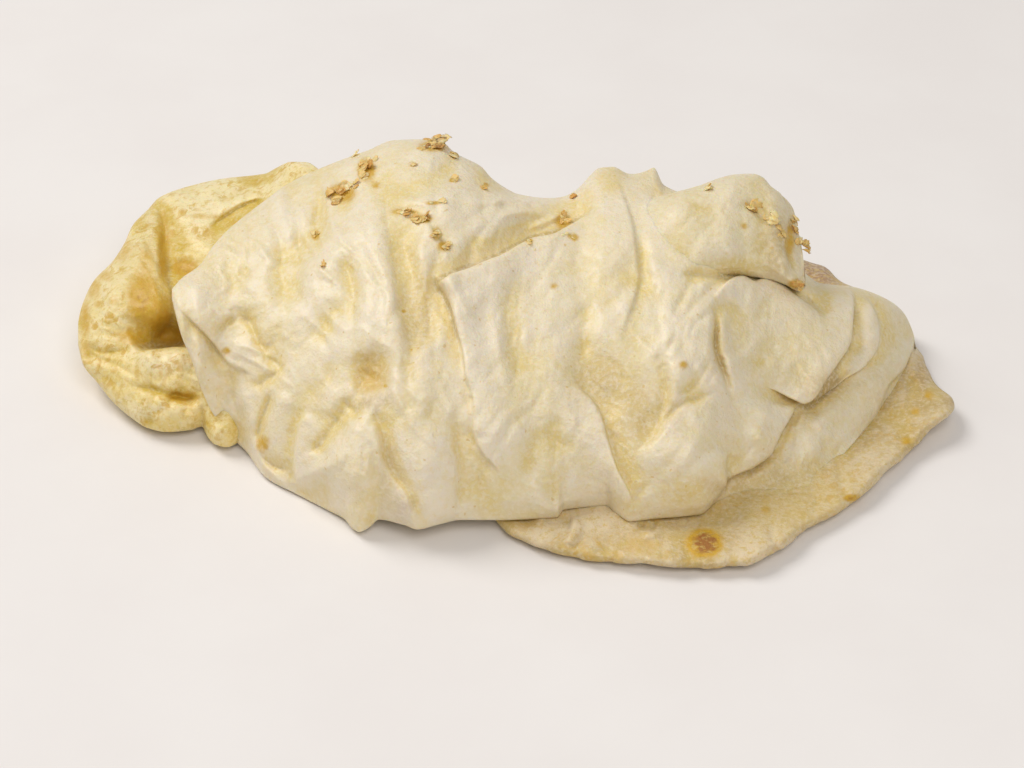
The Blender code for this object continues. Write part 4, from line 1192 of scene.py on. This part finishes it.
def bread_material(name, tones):
    """Soft bread: pale and floury, buttery in its folds and partly painted shade there, with golden
    mottling.
    """
    material, tree, shader, place = new_material(name)
    patches = noise(tree, place, *PATCHES)
    grains = noise(tree, place, *GRAINS)
    put(tree, shader, SKIN)
    put(tree, shader, {"Base Color": bread_colour(tree, place, patches, grains, tones),
                       "Roughness": ramp(tree, patches, *ROUGHNESS_RAMP)})
    bump_node = new_node(tree, "ShaderNodeBump")
    put(tree, bump_node, {"Strength": SKIN_STRENGTH, "Distance": SKIN_DEPTH * MM,
                          "Height": bread_height(tree, place, grains)})
    put(tree, shader, {"Normal": bump_node.outputs["Normal"]})
    return material


# How sharply a spot ends
SPOT_FLATNESS = 1.5

# Browned spots, on the loop partly painted shade in its pocket and folds: centre, radii in millimetres,
# and how brown
STAINS_AND_SHADE = {
    "paratha_heap": (
        ((226, 350), (1.2, 1.0), 0.5), ((262, 444), (2.0, 2.6), 0.5), ((554, 286), (1.2, 1.0), 0.4),
        ((684, 365), (1.4, 1.3), 0.45), ((403, 311), (0.5, 0.5), 0.8), ((438, 373), (0.5, 0.5), 0.7),
        ((385, 386), (0.5, 0.5), 0.7), ((411, 350), (0.4, 0.4), 0.7), ((530, 244), (1.2, 0.6), 0.6),
        ((574, 238), (1.6, 0.8), 0.6), ((453, 180), (1.3, 0.6), 0.8), ((485, 185), (1.3, 0.6), 0.8),
        ((412, 164), (1.2, 0.7), 0.7), ((371, 376), (4.6, 6.0), 0.30), ((434, 146), (4.4, 1.6), 0.6),
        ((366, 170), (2.4, 3.0), 0.85), ((341, 193), (3.8, 2.6), 0.75), ((404, 212), (3.6, 0.9), 0.8),
        ((421, 219), (3.0, 1.3), 0.8), ((436, 234), (1.6, 2.2), 0.5), ((443, 246), (1.8, 1.6), 0.6),
        ((563, 221), (2.4, 2.4), 0.55), ((315, 235), (1.3, 1.4), 0.6), ((376, 185), (1.5, 1.1), 0.45),
        ((433, 203), (3.0, 0.6), 0.5),
    ),
    "paratha_loop": (
        ((184, 268), (3.6, 2.4), 0.75), ((168, 335), (5.4, 2.6), 0.55), ((156, 314), (4.0, 6.0), 0.6),
        ((162, 248), (2.0, 11.0), 0.5), ((182, 397), (5.0, 1.3), 0.6), ((146, 262), (2.6, 7.0), 0.35),
        ((143, 300), (4.4, 8.0), 0.72), ((84, 318), (1.8, 6.0), 0.4), ((132, 336), (5.0, 3.0), 0.45),
        ((118, 250), (4.6, 4.0), 0.34), ((92, 288), (2.6, 3.4), 0.34), ((84, 350), (2.4, 3.0), 0.3),
        ((104, 276), (2.4, 1.8), 0.35), ((112, 302), (1.8, 1.4), 0.3), ((97, 304), (1.4, 1.2), 0.3),
        ((128, 316), (1.6, 1.2), 0.25), ((136, 372), (0.9, 3.0), 0.3), ((160, 372), (0.9, 3.0), 0.25),
        ((204, 216), (7.0, 0.9), 0.3),
    ),
    "paratha_roll": (
        ((790, 240), (1.6, 5.0), 0.5), ((745, 226), (1.2, 1.0), 0.4), ((797, 284), (2.4, 1.4), 0.6),
    ),
    "paratha_layer": (
        ((705, 543), (4.6, 3.6), 1.35), ((766, 510), (1.6, 1.2), 0.4), ((907, 441), (1.6, 1.2), 0.5),
        ((930, 395), (1.4, 1.4), 0.5), ((916, 411), (1.4, 1.2), 0.45), ((853, 498), (2.6, 1.0), 0.8),
        ((640, 545), (7.0, 3.0), 0.25),
    ),
}

# Places with the butter colour that are not hollow, partly butter and partly painted shade: centre,
# radii in millimetres, and how strong
BUTTER_AND_SHADE_SPOTS = {
    "paratha_heap": (
        ((611, 179), (4.4, 4.6), 1.0), ((588, 199), (3.0, 3.6), 0.9), ((814, 300), (3.0, 3.4), 0.9),
        ((545, 214), (7.0, 2.6), 0.8), ((424, 181), (8.0, 2.6), 0.5), ((366, 484), (8.0, 9.0), 0.6),
        ((376, 364), (4.6, 8.0), 0.6), ((690, 494), (10.0, 4.6), 0.8), ((765, 440), (5.0, 6.0), 0.45),
        ((240, 250), (9.0, 7.0), 0.45), ((316, 232), (7.0, 5.0), 0.5), ((206, 352), (4.0, 8.0), 0.4),
        ((553, 490), (4.5, 4.5), 0.35), ((752, 482), (8.0, 4.0), 1.0), ((262, 335), (7.0, 5.0), 0.35),
        ((412, 300), (5.0, 16.0), 0.6), ((214, 356), (3.4, 3.6), 0.8), ((263, 430), (2.0, 6.0), 0.7),
        ((262, 352), (3.0, 4.0), 0.4), ((806, 476), (12.0, 6.0), 0.8), ((828, 388), (9.0, 6.0), 0.6),
        ((726, 470), (5.0, 8.0), 0.6), ((205, 330), (4.0, 7.0), 0.5),
    ),
    "paratha_loop": (
        ((158, 306), (4.6, 10.0), 1.0), ((142, 334), (6.0, 3.0), 0.8), ((130, 268), (6.0, 7.0), 0.5),
        ((140, 300), (6.0, 10.0), 0.8), ((116, 326), (5.0, 3.0), 0.4), ((240, 196), (9.0, 2.0), 0.3),
        ((156, 392), (7.0, 1.0), 0.3),
    ),
    "paratha_roll": (
        ((740, 267), (15.0, 3.2), 1.0), ((690, 232), (10.0, 4.0), 0.3), ((776, 246), (5.0, 9.0), 0.5),
    ),
    "paratha_layer": (
        ((650, 552), (8.0, 3.0), 0.6), ((780, 505), (16.0, 8.0), 0.95),
    ),
}

# Painted shade, dull and brownish: centre, radii in millimetres, and how strong
PAINTED_SHADE_SPOTS = {
    "paratha_heap": (
        ((371, 372), (4.2, 5.8), 0.2), ((600, 384), (9.0, 9.0), 0.22), ((636, 412), (8.0, 10.0), 0.22),
        ((826, 384), (9.0, 4.0), 0.2), ((767, 462), (6.0, 5.0), 0.16), ((736, 487), (6.0, 3.0), 0.2),
        ((802, 420), (5.0, 3.4), 0.16), ((716, 360), (2.0, 9.0), 0.16), ((417, 328), (4.6, 14.0), 0.2),
        ((372, 396), (6.0, 5.0), 0.22), ((674, 414), (5.0, 7.0), 0.16), ((402, 508), (3.0, 4.0), 0.3),
        ((388, 468), (3.0, 9.0), 0.14),
    ),
    "paratha_loop": (((176, 340), (3.0, 1.6), 0.3),),
    "paratha_roll": (
        ((800, 288), (2.0, 1.2), 0.4), ((780, 246), (5.0, 10.0), 0.25),
    ),
    "paratha_layer": (
        ((818, 272), (9.0, 5.0), 0.9), ((924, 372), (3.0, 4.0), 0.35),
    ),
}

# Where the bread is painted whiter, partly flour and partly painted light: centre, radii in millimetres,
# and how white
FLOUR_AND_LIGHT_SPOTS = {
    "paratha_heap": (
        ((482, 320), (7.0, 15.0), 0.7), ((462, 400), (4.0, 10.0), 0.4), ((728, 410), (6.0, 11.0), 0.6),
        ((432, 470), (6.0, 10.0), 0.4), ((222, 405), (5.0, 8.0), 0.5), ((338, 498), (5.0, 4.0), 0.5),
        ((586, 492), (6.0, 6.0), 0.6), ((204, 300), (5.0, 6.0), 0.4),
    ),
    "paratha_loop": (
        ((165, 363), (7.0, 2.6), 0.7), ((150, 411), (7.0, 2.2), 0.6), ((150, 220), (2.6, 3.4), 0.5),
    ),
    "paratha_layer": (
        ((540, 532), (8.0, 3.0), 0.8), ((590, 524), (8.0, 3.0), 0.7), ((675, 526), (9.0, 2.6), 0.5),
    ),
}

# Where two pieces have one colour, since they are one sheet there: centre, radii and share
ONE_SHEET = {
    "paratha_heap": (
        ((795, 488), (22.0, 7.0), 0.9), ((745, 494), (6.0, 4.0), 0.9),
    ),
    "paratha_layer": (((790, 496), (24.0, 9.0), 0.9),),
}

# The tints that are painted on the pieces
TINTS = {"stain_and_shade": STAINS_AND_SHADE, "butter_and_shade": BUTTER_AND_SHADE_SPOTS, "painted_shade": PAINTED_SHADE_SPOTS, "flour_and_light": FLOUR_AND_LIGHT_SPOTS, "shared": ONE_SHEET}

# Clusters of browned flakes: centre, radii, how many, their length in millimetres, their heading in
# degrees from level and how far they stand up, from 0 to 1
FLAKES = (
    ((437, 144), (2.2, 1.2), 9, 3.6, 70.0, 0.8),
    ((424, 148), (2.4, 1.0), 6, 3.4, 15.0, 0.4),
    ((452, 153), (1.2, 0.8), 4, 2.2, -70.0, 0.7),
    ((366, 166), (1.9, 2.0), 8, 2.5, 50.0, 0.4),
    ((361, 176), (1.8, 1.6), 6, 2.3, 30.0, 0.3),
    ((346, 187), (2.6, 1.4), 8, 2.0, 35.0, 0.3),
    ((336, 197), (2.6, 2.0), 8, 2.3, 55.0, 0.3),
    ((356, 155), (2.2, 0.4), 3, 2.8, 10.0, 0.1),
    ((413, 165), (0.5, 0.4), 1, 2.2, 20.0, 0.1),
    ((453, 181), (0.8, 0.7), 3, 1.7, 60.0, 0.4),
    ((484, 188), (0.7, 0.7), 3, 1.7, 70.0, 0.4),
    ((435, 203), (2.2, 0.4), 3, 2.0, 5.0, 0.1),
    ((403, 212), (2.4, 0.6), 7, 2.0, -15.0, 0.3),
    ((418, 218), (2.4, 1.0), 9, 2.1, -30.0, 0.4),
    ((434, 232), (1.0, 1.6), 5, 1.7, -60.0, 0.3),
    ((443, 246), (1.1, 0.9), 5, 1.7, -20.0, 0.3),
    ((315, 236), (0.8, 0.9), 4, 1.6, 80.0, 0.3),
    ((323, 267), (0.6, 0.7), 2, 1.3, 20.0, 0.2),
    ((572, 198), (0.9, 0.5), 3, 1.6, 30.0, 0.3),
    ((563, 221), (1.8, 1.6), 8, 1.9, 35.0, 0.3),
    ((570, 236), (1.8, 0.5), 3, 1.6, 10.0, 0.1),
    ((529, 243), (0.7, 0.6), 2, 1.3, 30.0, 0.2),
    ((706, 188), (1.4, 0.6), 4, 1.9, -20.0, 0.3),
    ((752, 205), (2.0, 1.4), 6, 2.8, -45.0, 0.2),
    ((768, 216), (2.4, 1.8), 6, 2.4, -45.0, 0.2),
    ((780, 232), (1.4, 2.4), 5, 2.0, -60.0, 0.2),
    ((794, 222), (0.8, 4.0), 7, 2.0, -75.0, 0.6),
    ((799, 242), (1.2, 1.2), 6, 2.4, -20.0, 0.8),
    ((797, 284), (2.0, 1.2), 6, 2.2, -30.0, 0.5),
)
FLAKE_SEED = 23
FLAKE_STEPS = 8
FLAKE_RIBS = 4

# Spreads of the flakes: length as a share of the cluster's, width as a share of the length, curl
# and pitch in radians, and heading in degrees
FLAKE_LENGTH = (0.6, 1.25)
FLAKE_WIDTH = (0.6, 1.1)
FLAKE_CURL = (-1.2, 0.7)
FLAKE_CUP = (-0.5, 0.8)
FLAKE_PITCH = (0.1, 0.3)
STANDING_PITCH = 0.9
HEADING_SPREAD = 35.0

# A flake's outline, as shares of its width and length; its thickness, how deep it may sink and how
# near it may come to the sides of the box are in millimetres
BLUNT_START = 0.08
BLUNT_SPAN = 0.86
FLAKE_RAGGED = 0.09
FLAKE_NARROWEST = 0.05
FLAKE_UNEVEN = 0.05
FLAKE_THICKNESS = 0.16
FLAKE_DEEPEST = 0.3
BOX_MARGIN = 0.05

# A flake that would root outside the bread is moved down in steps until the bread is met
SEEK_STEP = 0.4
SEEK_TRIES = 14

# Colours and crust of the flakes. Their tone is partly one for each flake and partly a pattern
STRAW = (0.90, 0.74, 0.42)
TAN = (0.82, 0.55, 0.20)
CHESTNUT = (0.62, 0.33, 0.08)
BLOTCHES = (1.2, 3.0, 0.6)
FLAKE_TONE = 0.55
BLOTCH_TONE = 0.75
TAN_RAMP = (0.25, 0.65)
CHESTNUT_RAMP = (0.65, 1.0)
CRUST_ROUGHNESS_RAMP = (0.3, 0.7, 0.4, 0.6)
CRUST = {"Subsurface Weight": 0.3, "Subsurface Radius": (1.0, 0.5, 0.2), "Subsurface Scale": 0.8 * MM,
         "Specular IOR Level": 0.4}


def where_seen(trees, side, up, move):
    """The place and the normal of the surface that is seen here, sought downwards if there is none."""
    shift = Vector((move[0], move[1], 0))
    eye = eye_at(move)
    for k in range(SEEK_TRIES):
        seen = up - k * SEEK_STEP
        target = Vector((side, AIM_Y + seen * SIN, seen * COS)) * MM + shift
        hits = [tree.ray_cast(eye, (target - eye).normalized()) for tree in trees]
        hits = [hit for hit in hits if hit[0] is not None]
        if hits:
            nearest = min(hits, key=lambda hit: hit[3])
            return nearest[0], nearest[1]
    return None


def flake_points(draw, length, stand):
    """A thin curled shard, lying along +X with its top towards +Z, in millimetres."""
    width = length * draw.uniform(*FLAKE_WIDTH)
    curl = draw.uniform(*FLAKE_CURL)
    cup = draw.uniform(*FLAKE_CUP)
    pitch = draw.uniform(FLAKE_PITCH[0], FLAKE_PITCH[1] + STANDING_PITCH * stand)
    along = np.linspace(0, 1, FLAKE_STEPS)
    rounded = 0.5 * np.sqrt(np.sin(math.pi * (BLUNT_START + BLUNT_SPAN * along)))
    ragged = np.maximum(rounded + draw.normal(0, FLAKE_RAGGED, FLAKE_STEPS), FLAKE_NARROWEST)
    turn = pitch + curl * along
    xs = np.concatenate(([0.0], np.cumsum(np.cos(turn[1:])))) * length / (FLAKE_STEPS - 1)
    zs = np.concatenate(([0.0], np.cumsum(np.sin(turn[1:])))) * length / (FLAKE_STEPS - 1)
    across_share = np.linspace(-1, 1, FLAKE_RIBS)
    sheet = np.zeros((FLAKE_STEPS, FLAKE_RIBS, 3))
    sheet[..., 0] = xs[:, None] + draw.normal(0, FLAKE_UNEVEN * length, (FLAKE_STEPS, FLAKE_RIBS))
    sheet[..., 1] = across_share * (ragged * width)[:, None]
    sheet[..., 2] = zs[:, None] + cup * width * (across_share ** 2) * ragged[:, None]
    sheet[..., 2] = np.maximum(sheet[..., 2], -FLAKE_DEEPEST)
    normal = np.stack((-np.sin(turn), np.zeros(FLAKE_STEPS), np.cos(turn)), -1)[:, None]
    half = 0.5 * FLAKE_THICKNESS * normal
    return np.concatenate(((sheet + half).reshape(-1, 3), (sheet - half).reshape(-1, 3)))


def flake_faces():
    """The faces of one shard: its top, its underside and the wall between them."""
    top = np.arange(FLAKE_STEPS * FLAKE_RIBS).reshape(FLAKE_STEPS, FLAKE_RIBS)
    faces = np.stack((top[:-1, :-1], top[1:, :-1], top[1:, 1:], top[:-1, 1:]), -1).reshape(-1, 4).tolist()
    below = FLAKE_STEPS * FLAKE_RIBS
    faces += [[corner + below for corner in face[::-1]] for face in faces]
    rim = np.concatenate((top[0, :-1], top[:-1, -1], top[-1, :0:-1], top[:0:-1, 0]))
    for a, b in zip(rim, np.roll(rim, -1)):
        faces.append([int(a), int(b), int(b) + below, int(a) + below])
    return faces


def flakes(name, things, move):
    """All the browned flakes as one piece, each rooted where the photograph shows it."""
    draw = np.random.default_rng(FLAKE_SEED)
    trees = [tree_of(thing) for thing in things]
    one = flake_faces()
    points, faces, tones = [], [], []
    for centre, radii, count, length, heading, stand in FLAKES:
        for _ in range(count):
            turn, out = draw.uniform(0, 2 * math.pi), math.sqrt(draw.uniform())
            side = across(centre[0]) + radii[0] * out * math.cos(turn)
            up = above(centre[1]) + radii[1] * out * math.sin(turn)
            found = where_seen(trees, side, up, move)
            shard = flake_points(draw, length * draw.uniform(*FLAKE_LENGTH), stand)
            spin = math.radians(heading + draw.normal(0, HEADING_SPREAD))
            tone = draw.uniform()
            if found is None:
                continue
            place, normal = found
            axes = Matrix.Identity(3)
            flat_way = Vector((math.cos(spin), math.sin(spin) * SIN, math.sin(spin) * COS))
            x_axis = (flat_way - flat_way.dot(normal) * normal).normalized()
            axes.col[0], axes.col[1], axes.col[2] = x_axis, normal.cross(x_axis), normal
            placed = shard @ np.array(axes).T * MM + np.array(place)
            start = len(points) * len(shard)
            faces += [[corner + start for corner in face] for face in one]
            points.append(placed)
            tones.append(np.full(len(shard), tone))
    lowest, highest = np.array(CAD_BOX[0]) + BOX_MARGIN * MM, np.array(CAD_BOX[1]) - BOX_MARGIN * MM
    points = np.clip(np.concatenate(points), lowest, highest)
    return mesh_object(name, points, faces, {"tone": np.concatenate(tones)})


def flake_material():
    """Dry browned crust, from straw to chestnut, a different tone for each flake."""
    material, tree, shader, place = new_material("paratha_flake_crust")
    blotch = noise(tree, place, *BLOTCHES)
    tone = maths(tree, "ADD", maths(tree, "MULTIPLY", attribute(tree, "tone"), FLAKE_TONE),
                 maths(tree, "MULTIPLY", blotch, BLOTCH_TONE))
    colour = mix(tree, ramp(tree, tone, *TAN_RAMP), STRAW, TAN)
    colour = mix(tree, ramp(tree, tone, *CHESTNUT_RAMP), colour, CHESTNUT)
    put(tree, shader, CRUST)
    put(tree, shader, {"Base Color": colour, "Roughness": ramp(tree, blotch, *CRUST_ROUGHNESS_RAMP)})
    return material


def spot_strength(mesh, centre, radii):
    """How close each point of a mesh is seen to a spot's centre: 1 there, falling to 0 past its radii."""
    side, up = np.zeros(len(mesh.vertices), np.float32), np.zeros(len(mesh.vertices), np.float32)
    mesh.attributes["side"].data.foreach_get("value", side)
    mesh.attributes["rise"].data.foreach_get("value", up)
    u = (side - across(centre[0])) / radii[0]
    v = (up - above(centre[1])) / radii[1]
    return np.exp(-(u * u + v * v) ** SPOT_FLATNESS)


def paint_spots(thing, name, spots):
    """Write how strong a tint is at each point, from the spots seen there."""
    mesh = thing.data
    tint = np.zeros(len(mesh.vertices))
    for centre, radii, strength in spots:
        tint = np.maximum(tint, strength * spot_strength(mesh, centre, radii))
    layer = mesh.attributes.new(name, "FLOAT", "POINT")
    layer.data.foreach_set("value", tint.astype(np.float32))


# The floor: half its width in metres, and the clouds in its pale tones, as a pattern and a ramp
FLOOR_HALF = 3.0
FLOOR_CLOUDS = (60.0, 4.0)
FLOOR_RAMP = (0.3, 0.7)
FLOOR_COLOURS = ((0.81, 0.775, 0.755), (0.83, 0.80, 0.78))

# The lights, which aim at the origin: place and size in metres, power in watts and colour
LIGHTS = {
    "key": ((-1.3, 0.7, 1.75), 1.3, 30.0, (1.0, 0.98, 0.95)),
    "fill": ((0.35, -1.15, 1.55), 1.2, 14.6, (1.0, 0.98, 0.96)),
}
SKY_COLOUR = (1.0, 0.985, 0.97, 1.0)
SKY_STRENGTH = 0.345


def floor_material():
    material, tree, shader, place = new_material("floor")
    cloud = noise(tree, place, *FLOOR_CLOUDS)
    put(tree, shader, {"Base Color": mix(tree, ramp(tree, cloud, *FLOOR_RAMP), *FLOOR_COLOURS)})
    put(tree, shader, {"Roughness": 0.7, "Specular IOR Level": 0.25})
    return material


def add_floor():
    half = FLOOR_HALF
    mesh = bpy.data.meshes.new("floor")
    mesh.from_pydata([(-half, -half, 0), (half, -half, 0), (half, half, 0), (-half, half, 0)], [],
                     [(0, 1, 2, 3)])
    floor = bpy.data.objects.new("floor", mesh)
    floor.data.materials.append(floor_material())
    bpy.context.scene.collection.objects.link(floor)


def add_area_light(name, place, size, power, colour):
    data = bpy.data.lights.new(name, "AREA")
    data.shape = "DISK"
    data.size = size
    data.energy = power
    data.color = colour
    light = bpy.data.objects.new(name, data)
    light.location = place
    light.rotation_euler = (-Vector(place)).to_track_quat("-Z", "Y").to_euler()
    bpy.context.scene.collection.objects.link(light)


def add_camera(move):
    data = bpy.data.cameras.new("camera")
    data.lens = LENS
    data.sensor_width = SENSOR
    camera = bpy.data.objects.new("camera", data)
    shift = Vector((move[0], move[1], 0))
    eye = Vector((0, EYE_Y * MM, EYE_Z * MM)) + shift
    aim = Vector((0, AIM_Y * MM, 0)) + shift
    camera.location = eye
    camera.rotation_euler = (aim - eye).to_track_quat("-Z", "Y").to_euler()
    bpy.context.scene.collection.objects.link(camera)
    bpy.context.scene.camera = camera


def light_scene():
    scene = bpy.context.scene
    world = bpy.data.worlds.new("studio")
    world.use_nodes = True
    sky = world.node_tree.nodes["Background"]
    sky.inputs["Color"].default_value = SKY_COLOUR
    sky.inputs["Strength"].default_value = SKY_STRENGTH
    scene.world = world
    for name, values in LIGHTS.items():
        add_area_light(name, *values)
    scene.view_settings.view_transform = "Standard"


def main():
    things = [mound("paratha_heap", HEAP, HEAP_SEED), mound("paratha_loop", LOOP, LOOP_SEED),
              mound("paratha_roll", ROLL, ROLL_SEED), flat_layer("paratha_layer", LAYER)]
    for thing in things:
        thin_out(thing)
    move = fit_to_box(things)
    heap, _, roll, layer = things
    blend(heap, roll, ROLL_MEETING, move)
    blend(heap, layer, LAYER_MEETING, move)
    for thing in things:
        for tint, spots in TINTS.items():
            paint_spots(thing, tint, spots.get(thing.name, ()))
        thing.data.materials.append(bread_material(thing.name + "_crust", TONES[thing.name]))
    shards = flakes("paratha_flakes", things, move)
    shards.data.materials.append(flake_material())
    things.append(shards)
    for thing in things:
        thing.data.shade_smooth()
        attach(thing, "root")
        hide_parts("paratha")
    add_floor()
    light_scene()
    add_camera(move)


main()
